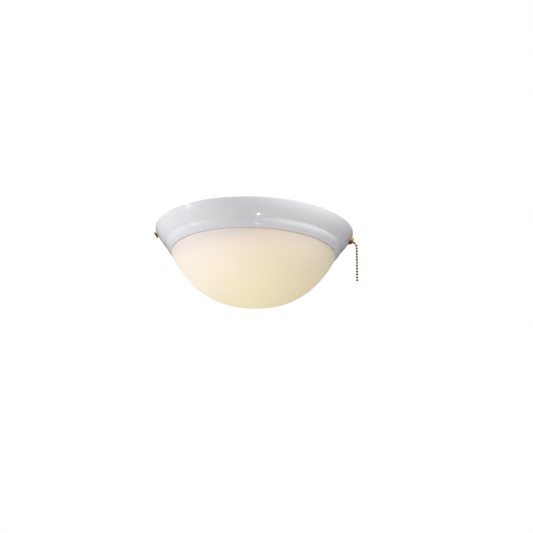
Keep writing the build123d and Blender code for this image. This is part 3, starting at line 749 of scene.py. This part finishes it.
def smooth_copy(name):
    """A copy of a frame node with its points merged and its curved faces shaded smooth."""
    source = frame["nodes"][name]
    mesh = source.data.copy()
    mesh.name = f"{name}_smooth"
    piece = bpy.data.objects.new(f"{name}_smooth", mesh)
    bpy.context.scene.collection.objects.link(piece)
    finish_mesh(mesh, SHARP_ON_CAD)
    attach(piece, source["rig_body"])
    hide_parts(name)


def pan_profile():
    """The pan's outer line from rim to rolled lip: two arcs, a soft crease and a quarter roll."""
    low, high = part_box("pan_shell")
    rim = high.z
    lip = low.z
    radius = max(high.x, -low.x)
    upper = arc_between((radius, rim), (CREASE_RADIUS, rim - CREASE_DROP), UPPER_TIER_RADIUS, 40)
    lower = arc_between((CREASE_RADIUS, rim - CREASE_DROP), (LIP_RADIUS, lip), LOWER_TIER_RADIUS, 40)
    blended = blend_corner(upper, lower, CREASE_BLEND)
    roll = arc((LIP_RADIUS, lip + LIP_ROLL), LIP_ROLL, -math.pi / 2, -math.pi, steps=9)
    top = np.array([[LIP_RADIUS - LIP_ROLL, lip + LIP_ROLL + LIP_RETURN]])
    return np.concatenate([blended, roll[1:], top])


def arc_between(start, end, radius, steps):
    """Points on the arc of a given radius between two points, bulging outwards and down."""
    start = np.array(start)
    end = np.array(end)
    chord = end - start
    length = np.linalg.norm(chord)
    inward = np.array((chord[1], -chord[0])) / length
    centre = (start + end) / 2 + inward * math.sqrt(radius**2 - (length / 2) ** 2)
    first = math.atan2(start[1] - centre[1], start[0] - centre[0])
    last = math.atan2(end[1] - centre[1], end[0] - centre[0])
    return arc(centre, radius, first, last, steps)


def blend_corner(first, second, reach):
    """Two lines that meet in a corner, joined a short way from it by a quadratic curve that it steers."""
    corner = first[-1]
    keep_first = first[np.linalg.norm(first - corner, axis=1) > reach]
    keep_second = second[np.linalg.norm(second - corner, axis=1) > reach]
    start, end = keep_first[-1], keep_second[0]
    share = np.linspace(0, 1, 9)[1:-1, None]
    curve = (1 - share) ** 2 * start + 2 * share * (1 - share) * corner + share**2 * end
    return np.concatenate([keep_first, curve, keep_second])


def make_pan():
    """White pan: its outer line and the line beside it, turned about the axis."""
    outer = pan_profile()
    inner = beside(outer, -PAN_WALL)
    profile = np.concatenate([outer, inner[::-1]])
    surface = lathed(profile, columns=320, closed=True)
    pan = add_piece("pan", surface, "kit", "white_enamel", "pan_shell", SHARP_ON_SHEET)
    bore_hole(pan, screw_place(), SCREW_HOLE)
    bore_hole(pan, switch_place(), TUBE_HOLE)
    finish_mesh(pan.data, SHARP_ON_SHEET)


def bore_hole(piece, place, radius):
    """A round hole through a piece's wall, about the Z axis of the given frame."""
    bar = [(0, -DRILL_REACH), (radius, -DRILL_REACH), (radius, DRILL_REACH), (0, DRILL_REACH)]
    surface = lathed(bar, columns=64, closed=False, place=place)
    drill = bpy.data.objects.new("drill", new_mesh("drill", surface, SHARP_ON_SHEET))
    bpy.context.scene.collection.objects.link(drill)
    cut = piece.modifiers.new("hole", "BOOLEAN")
    cut.operation = "DIFFERENCE"
    cut.solver = "EXACT"
    cut.object = drill
    bored = bpy.data.meshes.new_from_object(piece.evaluated_get(bpy.context.evaluated_depsgraph_get()))
    piece.modifiers.clear()
    piece.data = bored
    bpy.data.objects.remove(drill)


def screw_place():
    """The frame of the thumbscrew: where its axis leaves the pan's outer face, with Z outwards."""
    return axis_frame(joint["screw_turn"]["pos_m"], joint["screw_travel"]["axis"])


def switch_place():
    """The frame of the pull switch, on the other side of the pan."""
    return axis_frame(np.array(joint["screw_turn"]["pos_m"]) * (-1, 1, 1), joint["chain_pull"]["axis"])


def dome_line(inset, first, steps):
    """The bowl's dome from near its top edge down to its pole, at an inset from the outer face.

    At a share d of its depth its radius is the greatest one times (1 - d to the depth power) to the inverse
    of the radius power. Its points start at the turn called first and lie closer towards the pole.
    """
    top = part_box("pan_shell")[1].z - BOWL_TOP_DROP
    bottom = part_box("glass_bowl")[0].z + inset
    depth = np.sin(np.linspace(first, math.pi / 2, steps))
    width = np.clip(1 - depth**BOWL_DEPTH_POWER, 0, 1) ** (1 / BOWL_RADIUS_POWER)
    return np.stack([(BOWL_RADIUS - inset) * width, top + (bottom - top) * depth], 1)


def bowl_profile():
    """The bowl's outer line: the neck's bead as half an ellipse, a rounded shoulder, and the dome.

    The shoulder's edge lies on the straight line that carries the dome's first stretch on upwards.
    """
    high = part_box("glass_bowl")[1]
    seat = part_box("pan_shell")[0].z - GLASS_SEAT_GAP
    dome = dome_line(inset=0.0, first=0.02, steps=90)
    bead_middle = high.z - BEAD_HEIGHT / 2
    bead_turn = np.linspace(math.pi / 2, -math.pi / 2, 12)
    bulge = np.stack([BEAD_OVERHANG * np.cos(bead_turn), BEAD_HEIGHT / 2 * np.sin(bead_turn)], 1)
    bead = (NECK_RADIUS, bead_middle) + bulge
    slope = (dome[1] - dome[0]) / (dome[1, 1] - dome[0, 1])
    edge = dome[0] + slope * (seat - dome[0, 1])
    corner = [(NECK_RADIUS, bead_middle - BEAD_HEIGHT / 2), (NECK_RADIUS, seat), tuple(edge), tuple(dome[0])]
    shoulder = rounded(corner, SHOULDER_ROUNDING)
    return np.concatenate([bead, shoulder[1:], dome[1:]])


def make_bowl():
    """Glass bowl: the outer line and its wall, turned about the axis."""
    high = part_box("glass_bowl")[1]
    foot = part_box("pan_shell")[1].z - BOWL_TOP_DROP - NECK_STEP
    dome = dome_line(inset=GLASS_WALL, first=0.05, steps=60)
    bore = NECK_RADIUS - GLASS_WALL
    neck = rounded([(bore, high.z), (bore, foot), tuple(dome[0])], NECK_ROUNDING)
    inner = np.concatenate([neck, dome[1:]])
    profile = np.concatenate([inner[::-1], bowl_profile()])
    surface = lathed(profile, columns=320, closed=False)
    add_piece("bowl", surface, "bowl", "opal_glass", "glass_bowl", SHARP_ON_GLASS)


def bead(centre, axis):
    """A hollow bead: a ball with a small hole at each end and a slit along one side.

    The slit's depth is a bell curve of the turn times the square of the radius.
    """
    latitude = np.linspace(HOLE_TURN, math.pi - HOLE_TURN, 15)
    profile = np.stack([BEAD_RADIUS * np.sin(latitude), BEAD_RADIUS * np.cos(latitude)], 1)
    floor = profile[0, 1] - HOLE_DEPTH
    ends = [(0, floor), (HOLE_FLOOR, floor)], [(HOLE_FLOOR, -floor), (0, -floor)]
    profile = np.concatenate([ends[0], profile, ends[1]])

    def slit(line, turn):
        across = np.minimum(turn, 2 * math.pi - turn) / SLIT_TURN
        return -SLIT_DEPTH * np.exp(-(across**2)) * (line[:, 0][:, None] / BEAD_RADIUS) ** 2

    return lathed(profile, columns=28, closed=False, place=axis_frame(centre, axis), ripple=slit)


def wire(start, end):
    """A short wire link from one point to another. Half a sine wave along it is its slight waist."""
    way = np.array(end) - np.array(start)
    length = float(np.linalg.norm(way))
    share = np.linspace(0, 1, 7)
    profile = np.stack([LINK_RADIUS * (1 - LINK_WAIST * np.sin(math.pi * share)), share * length], 1)
    profile = np.concatenate([[[0, 0]], profile, [[0, length]]])
    return lathed(profile, columns=12, closed=False, place=axis_frame(start, way))


def bead_string(places):
    """Beads at the given places with a link in each gap."""
    places = [np.array(place, float) for place in places]
    parts = []
    for index, place in enumerate(places):
        neighbour = places[index + 1] if index + 1 < len(places) else places[index - 1]
        parts.append(bead(place, neighbour - place))
    for start, end in zip(places, places[1:]):
        seat = (end - start) / np.linalg.norm(end - start) * BEAD_RADIUS * LINK_SEAT
        parts.append(wire(start + seat, end - seat))
    return parts


def chain_points():
    """Bead centres of the three lengths of chain, from the boxes of the frame's nodes."""
    pull = np.array(joint["chain_pull"]["axis"])
    last = np.array(joint["chain_sway"]["pos_m"])
    knuckle = np.array(joint["chain_swing"]["pos_m"])
    lead = [last - pull * CHAIN_PITCH * step for step in range(LEAD_BEADS)]
    low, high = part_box("chain_drop")
    foot = np.array((high.x - BEAD_RADIUS, 0.0, low.z + BEAD_RADIUS))
    drop = [foot + np.array((0, 0, CHAIN_PITCH * step)) for step in range(DROP_BEADS - 1, -1, -1)]
    return lead, knuckle, drop


def make_chain():
    """The beaded chain, in the same three lengths as the frame's."""
    lead, knuckle, drop = chain_points()
    rod = lead[-1] - np.array(joint["chain_pull"]["axis"]) * CHAIN_PITCH
    parts = bead_string(lead) + [wire(lead[-1], rod)]
    add_chain("chain_in_tube", parts, "chain_lead")
    way = (lead[0] - knuckle) / np.linalg.norm(lead[0] - knuckle)
    parts = [bead(knuckle, way), wire(knuckle, lead[0] - way * BEAD_RADIUS)]
    add_chain("chain_bend_bead", parts, "chain_knuckle")
    way = (knuckle - drop[0]) / np.linalg.norm(knuckle - drop[0])
    parts = bead_string(drop) + [wire(drop[0], knuckle - way * BEAD_RADIUS)]
    add_chain("hanging_chain", parts, "chain_drop")


def add_chain(name, parts, body):
    """One length of the chain, for the frame's node that has its body's name."""
    add_piece(name, joined(parts), body, "chain_brass", body, SHARP_ON_CHAIN)


def slotted_turns(radius):
    """Turns of a slotted head's columns: even ones, and a doubled one at each corner of the slot.

    The first half runs from -90 to 90 degrees and the second mirrors it, so that a column and its mirror
    image are the two ends of one straight row across the top. Gives the turns, which of them lie in the
    slot, and both for the first half alone.
    """
    edge = math.asin(SLOT_HALF_WIDTH / radius)
    even = np.linspace(-math.pi / 2, math.pi / 2, 2 * KNURLS + 1)
    below, middle, above = even[even < -edge], even[np.abs(even) < edge], even[even > edge]
    half = np.concatenate([below, [-edge, -edge], middle, [edge, edge], above])
    sunk = np.concatenate([below * 0, [0, 1], middle * 0 + 1, [1, 0], above * 0]) > 0
    return np.concatenate([half, math.pi - half[-2:0:-1]]), np.concatenate([sunk, sunk[-2:0:-1]]), half, sunk


def make_thumb_screw():
    """Thumbscrew: a threaded shank, a shoulder and a knurled head turned about one axis, with its slot.

    The head's top is a set of straight rows across it, and the rows in the slot lie at its floor.
    """
    place = screw_place()
    head, base, top = SCREW_HEAD
    rim = head - KNURL_DEPTH
    shoulder, seat = SCREW_SHOULDER
    foot = SCREW_TIP + SCREW_CHAMFER
    shank = dense([(SCREW_RADIUS, foot), (SCREW_RADIUS, seat)], SCREW_PITCH / THREAD_ROWS)
    profile = np.concatenate([
        [(0, SCREW_TIP), (SCREW_RADIUS - SCREW_CHAMFER, SCREW_TIP)],
        shank,
        [(shoulder, seat), (shoulder, base), (rim, base), (head, base + KNURL_DEPTH), (head, SLOT_FLOOR)],
        [(head, top - KNURL_DEPTH), (rim, top)],
    ])
    winding = thread(SCREW_PITCH, SCREW_THREAD, (SCREW_TIP, seat))
    grooves = knurl(rim + KNURL_DEPTH / 2)

    def ripple(line, turn):
        return winding(line, turn) * (line[:, 0] <= SCREW_RADIUS)[:, None] + grooves(line, turn)

    turn, in_slot, half, sunk = slotted_turns(rim)
    floor = np.where(in_slot, SLOT_FLOOR, top)
    side = turned(profile, len(turn), ripple=ripple, turn=turn, floor=floor)
    across = np.linspace(1, -1, 13)
    face = np.stack(
        [
            rim * np.cos(half)[:, None] * across,
            rim * np.sin(half)[:, None] * np.ones(len(across)),
            np.where(sunk, SLOT_FLOOR, top)[:, None] * np.ones(len(across)),
        ],
        -1,
    ).reshape(-1, 3)
    surface = joined([
        (carried(side, place), grid_faces(len(profile), len(turn), False)),
        (carried(face, place), sheet_faces(len(half), len(across))),
    ])
    # The thumbscrew takes the lighter copy of the brass, which is painted light.
    add_piece("thumbscrew", surface, "thumb_screw", "brass_painted_lighter", "thumb_screw", SHARP_ON_TURNED)


def make_switch_nut():
    """Knurled nut of the pull switch, turned about the way the chain leaves."""
    low, high = NUT_ENDS
    bore = TUBE_RADIUS + NUT_GAP
    rim = NUT_RADIUS - KNURL_DEPTH
    nut = [(bore, low), (rim, low), (NUT_RADIUS, low + KNURL_DEPTH), (NUT_RADIUS, high - KNURL_DEPTH)]
    nut += [(rim, high), (bore + NUT_CHAMFER, high), (bore, high - NUT_CHAMFER)]
    grooves = knurl(rim + KNURL_DEPTH / 2)
    surface = lathed(nut, columns=4 * KNURLS, closed=True, place=switch_place(), ripple=grooves)
    add_piece("chain_nut", surface, "kit", "brass", "switch_nut", SHARP_ON_TURNED)


def make_switch_tube():
    """Threaded tube of the pull switch. A quarter circle outside and one inside shape its flared mouth."""
    back, step, end = TUBE_ENDS
    outer = dense([(TUBE_RADIUS, back), (TUBE_RADIUS, step)], TUBE_PITCH / THREAD_ROWS)
    centre = MOUTH_RADIUS - MOUTH_EDGE
    edge = arc((centre, end - MOUTH_EDGE), MOUTH_EDGE, 0, math.pi / 2, steps=5)
    flare = arc((centre, end - MOUTH_FLARE), MOUTH_FLARE, math.pi / 2, math.pi, steps=9)
    tube = np.concatenate([outer, [(MOUTH_RADIUS, step)], edge, flare, [(TUBE_BORE, back)]])
    winding = thread(TUBE_PITCH, TUBE_THREAD, (back, step), TUBE_RADIUS - HAIR)
    surface = lathed(tube, columns=72, closed=True, place=switch_place(), ripple=winding)
    add_piece("chain_tube", surface, "kit", "brass", "switch_tube", SHARP_ON_TURNED)


def make_stem():
    """Hollow stem: two threaded lengths of slightly different radius, turned about the upright axis."""
    low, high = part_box("stem_nipple")
    step = STEM_PITCH / THREAD_ROWS
    upper = dense([(STEM_RADIUS, 0), (STEM_RADIUS, high.z - STEM_CHAMFER)], step)
    lower = dense([(STEM_RELIEF, low.z + STEM_CHAMFER), (STEM_RELIEF, 0)], step)
    profile = np.concatenate([
        [(STEM_BORE, low.z), (STEM_RELIEF - STEM_CHAMFER, low.z)],
        lower,
        upper,
        [(STEM_RADIUS - STEM_CHAMFER, high.z), (STEM_BORE, high.z)],
    ])
    winding = thread(STEM_PITCH, STEM_THREAD, (low.z, high.z), STEM_RELIEF - HAIR)
    surface = lathed(profile, columns=96, closed=True, ripple=winding)
    add_piece("hollow_stem", surface, "kit", "zinc_steel", "stem_nipple", SHARP_ON_TURNED)


def lamp_place(side):
    """The frame at a lamp holder's mouth, with Z along the way the lamp comes out."""
    return axis_frame((-side * HOLDER_REACH, side * HOLDER_SPREAD, HOLDER_LEVEL), (side, 0, 0))


def make_lamp_cap(number, side):
    """Rolled metal cap of a lamp: a plain line with a round wave raised on it.

    The wave climbs one pitch in a turn and fades out over half a pitch at both ends.
    """
    start, end = CAP_THREAD
    cap = np.concatenate([
        [(0, start), (CAP_ROOT - CAP_EDGE[0], start)],
        dense([(CAP_ROOT, start + CAP_EDGE[1]), (CAP_ROOT, end)], CAP_PITCH / ROLLED_ROWS),
        dense([(CAP_ROOT, end), (CAP_ROOT, CAP_TOP - CAP_SKIRT)], CAP_SKIRT_STEP)[1:],
        [(CAP_ROOT + growth, CAP_TOP - drop) for growth, drop in CAP_FLARE],
        [(0, CAP_TOP)],
    ])
    depth = CAP_CREST - CAP_ROOT
    rolled = thread(CAP_PITCH, depth, (start, end), CAP_ROOT - HAIR, swell)

    def raised(line, turn):
        fade = np.clip(np.minimum(line[:, 1] - start, end - line[:, 1]) / (CAP_PITCH / 2), 0, 1)
        fade = fade * (line[:, 0] > CAP_ROOT - HAIR)
        return rolled(line, turn) + depth * fade[:, None]

    surface = lathed(cap, columns=96, closed=False, place=lamp_place(side), ripple=raised)
    body, node_name = f"lamp_{number}", f"lamp_cap_{number}"
    add_piece(f"{body}_cap", surface, body, "aluminium", node_name, SHARP_ON_SHEET)


def make_lamp_end(number, side):
    """Black insulator of a lamp's cap, a short cone, and the end button in it, domed by a quarter ellipse."""
    place = lamp_place(side)
    body, node_name = f"lamp_{number}", f"lamp_cap_{number}"
    start = CAP_THREAD[0]
    button, rise = CAP_BUTTON
    seat = CAP_BACK + rise
    cone = [(0, start), (CAP_ROOT - CAP_EDGE[0], start), (CAP_ROOT - CONE_WIDE[0], start - CONE_WIDE[1])]
    cone += [(button + CONE_NARROW[0], seat + CONE_NARROW[1]), (button + CONE_SINK, seat - CONE_SINK)]
    cone += [(0, seat - CONE_SINK)]
    surface = lathed(cone, columns=96, closed=False, place=place)
    black = "black_moulding"
    add_piece(f"{body}_insulator", surface, body, black, node_name, SHARP_ON_SHEET)
    turn = np.linspace(0, math.pi / 2, 9)
    dome = np.stack([button * np.sin(turn), CAP_BACK + rise * BUTTON_DOME * (1 - np.cos(turn))], 1)
    dome = np.concatenate([dome, [(button, seat), (0, seat)]])
    surface = lathed(dome, columns=48, closed=False, place=place)
    add_piece(f"{body}_button", surface, body, "brass", node_name, SHARP_ON_SHEET)


def make_lamp_glass(number, side):
    """Thin glass of a lamp: a neck that swells to a round top, and the same line of smaller radii inside.

    The flank's radius goes from the neck's to the greatest by 3 s squared minus 2 s cubed, where s is the
    share of its length, and the top is a quarter circle.
    """
    foot, tip = LAMP_ENDS
    centre = tip - LAMP_RADIUS
    share = np.linspace(0, 1, 40)
    rise = share**2 * (3 - 2 * share)
    walls = []
    for inset in (0.0, LAMP_WALL):
        radius, neck = LAMP_RADIUS - inset, LAMP_NECK - inset
        flank = np.stack([neck + (radius - neck) * rise, foot + (centre - foot) * share], 1)
        crown = arc((0, centre), radius, 0, math.pi / 2, steps=30)[1:]
        walls.append(np.concatenate([flank, crown]))
    glass = np.concatenate([walls[0][::-1], walls[1]])
    glass[[0, -1], 0] = 0.0
    surface = lathed(glass, columns=128, closed=False, place=lamp_place(side))
    body, node_name = f"lamp_{number}", f"lamp_glass_{number}"
    add_piece(f"{body}_glass", surface, body, "lamp_glass", node_name, SHARP_ON_SHEET)


def make_screw_shell(number, side):
    """Rolled screw shell of a holder: a thin wall with the lamp's thread pressed in, and its back flange.

    Both sides of the wall carry the same round wave, which climbs one pitch in a turn.
    """
    back, mouth = SHELL_ENDS
    outer = SHELL_BORE + SHELL_GAUGE
    foot = back + SHELL_GAUGE
    step = CAP_PITCH / ROLLED_ROWS
    profile = np.concatenate([
        [(SHELL_OPENING, back), (SHELL_LUG, back), (SHELL_LUG, foot)],
        dense([(outer, foot), (outer, mouth)], step),
        dense([(SHELL_BORE, mouth), (SHELL_BORE, foot)], step),
        [(SHELL_OPENING, foot)],
    ])

    def ripple(line, turn):
        wall = (line[:, 0] > SHELL_BORE - HAIR) & (line[:, 0] < outer + HAIR)
        room = np.minimum(line[:, 1] - back - SHELL_PLAIN[0], mouth - SHELL_PLAIN[1] - line[:, 1])
        fade = np.clip(room / CAP_PITCH, 0, 1)
        wave = swell(line[:, 1][:, None] / CAP_PITCH - turn / (2 * math.pi))
        return SHELL_WAVE * wave * (fade * wall)[:, None]

    surface = lathed(profile, columns=96, closed=True, place=lamp_place(side), ripple=ripple)
    name, node_name = f"threaded_shell_{number}", f"screw_shell_{number}"
    add_piece(name, surface, "kit", "aluminium", node_name, SHARP_ON_SHEET)


def set_camera():
    """The photograph's camera, from its height of view, roll and where the rim's centre shows."""
    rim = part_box("pan_shell")[1]
    distance = CAMERA_DISTANCE * rim.x
    target = np.array((0.0, 0.0, rim.z))
    eye = target + distance * np.array((0.0, -math.cos(LOOK_UP), -math.sin(LOOK_UP)))
    forward = (target - eye) / np.linalg.norm(target - eye)
    right = np.array((1.0, 0.0, 0.0))
    down = np.cross(forward, right)
    level = np.stack([right, down, forward])
    middle = PHOTO_SIDE / 2
    ray = np.array([RIM_CENTRE_PIXEL[0] - middle, RIM_CENTRE_PIXEL[1] - middle, FOCAL_PIXELS])
    ray /= np.linalg.norm(ray)
    swing = Vector((0, 0, 1)).rotation_difference(Vector(ray)).to_matrix()
    roll = Matrix.Rotation(ROLL, 3, "Z")
    turned_by = np.array(swing @ roll) @ level
    camera_data = bpy.data.cameras.new("photo_camera")
    camera_data.sensor_fit = "HORIZONTAL"
    camera_data.sensor_width = 36.0
    camera_data.lens = FOCAL_PIXELS / PHOTO_SIDE * camera_data.sensor_width
    camera_data.clip_start = 0.05
    camera = bpy.data.objects.new("photo_camera", camera_data)
    axes = Matrix([list(turned_by[0]), list(-turned_by[1]), list(-turned_by[2])]).transposed()
    camera.matrix_world = Matrix.Translation(Vector(eye)) @ axes.to_4x4()
    bpy.context.scene.collection.objects.link(camera)
    bpy.context.scene.camera = camera


def add_light(name, turn, rise, reach, size, power, colour):
    """A square area light at a turn and a rise from the aim, which it faces."""
    data = bpy.data.lights.new(name, "AREA")
    data.shape = "SQUARE"
    data.size = size
    data.energy = power
    data.color = srgb(*colour)[:3]
    light = bpy.data.objects.new(name, data)
    turn, rise = math.radians(turn), math.radians(rise)
    out = np.array((math.sin(turn) * math.cos(rise), -math.cos(turn) * math.cos(rise), math.sin(rise)))
    place = Vector(np.array(LIGHT_AIM) + out * reach)
    facing = (Vector(LIGHT_AIM) - place).to_track_quat("-Z", "Y")
    light.matrix_world = Matrix.Translation(place) @ facing.to_matrix().to_4x4()
    bpy.context.scene.collection.objects.link(light)


def set_world():
    """Plain soft light all round, and white wherever the camera sees past the object."""
    world = bpy.data.worlds.new("studio")
    bpy.context.scene.world = world
    world.use_nodes = True
    tree = world.node_tree
    tree.nodes.clear()
    soft = node(tree, "ShaderNodeBackground", [("Color", srgb(255, 252, 253)), ("Strength", WORLD_STRENGTH)])
    white = node(tree, "ShaderNodeBackground", [("Color", (1, 1, 1, 1)), ("Strength", 1.0)])
    seen = node(tree, "ShaderNodeLightPath").outputs["Is Camera Ray"]
    mix = node(tree, "ShaderNodeMixShader", [(0, seen), (1, soft.outputs[0]), (2, white.outputs[0])])
    node(tree, "ShaderNodeOutputWorld", [(0, mix.outputs[0])])


def set_floor():
    """A pale floor far below the object, which the camera sees fade into the white round it."""
    half = FLOOR_HALF
    corners = [(-half, -half), (half, -half), (half, half), (-half, half)]
    mesh = bpy.data.meshes.new("floor")
    mesh.from_pydata([(x, y, -FLOOR_DROP) for x, y in corners], [], [(0, 1, 2, 3)])
    floor = bpy.data.objects.new("floor", mesh)
    material = bpy.data.materials.new("pale_floor")
    material.use_nodes = True
    tree = material.node_tree
    shader = tree.nodes["Principled BSDF"]
    shader.inputs["Base Color"].default_value = srgb(236, 236, 238)
    shader.inputs["Roughness"].default_value = 0.9
    where = node(tree, "ShaderNodeTexCoord").outputs["Object"]
    level = node(tree, "ShaderNodeVectorMath", [(0, where), (1, (1, 1, 0))], operation="MULTIPLY")
    away = node(tree, "ShaderNodeVectorMath", [(0, level.outputs[0])], operation="LENGTH")
    fade = node(
        tree, "ShaderNodeMapRange",
        [("Value", away.outputs["Value"]), ("From Min", FLOOR_FADE), ("From Max", half)],
        interpolation_type="SMOOTHSTEP",
    )
    seen = node(tree, "ShaderNodeLightPath").outputs["Is Camera Ray"]
    share = calculate(tree, "MULTIPLY", fade.outputs[0], seen)
    clear = node(tree, "ShaderNodeBsdfTransparent")
    mix = node(tree, "ShaderNodeMixShader", [(0, share), (1, shader.outputs[0]), (2, clear.outputs[0])])
    tree.links.new(mix.outputs[0], tree.nodes["Material Output"].inputs["Surface"])
    mesh.materials.append(material)
    bpy.context.scene.collection.objects.link(floor)


dress_frame_nodes()
make_pan()
make_bowl()
make_chain()
make_thumb_screw()
make_switch_nut()
make_switch_tube()
make_stem()
for number, side in ((1, -1), (2, 1)):
    make_lamp_cap(number, side)
    make_lamp_end(number, side)
    make_lamp_glass(number, side)
    make_screw_shell(number, side)
for name in sorted(frame["nodes"]):
    if not frame["nodes"][name].hide_render:
        smooth_copy(name)
set_world()
set_floor()
for name, settings in LIGHTS.items():
    add_light(name, *settings)
set_camera()
bpy.context.scene.view_settings.view_transform = "Standard"
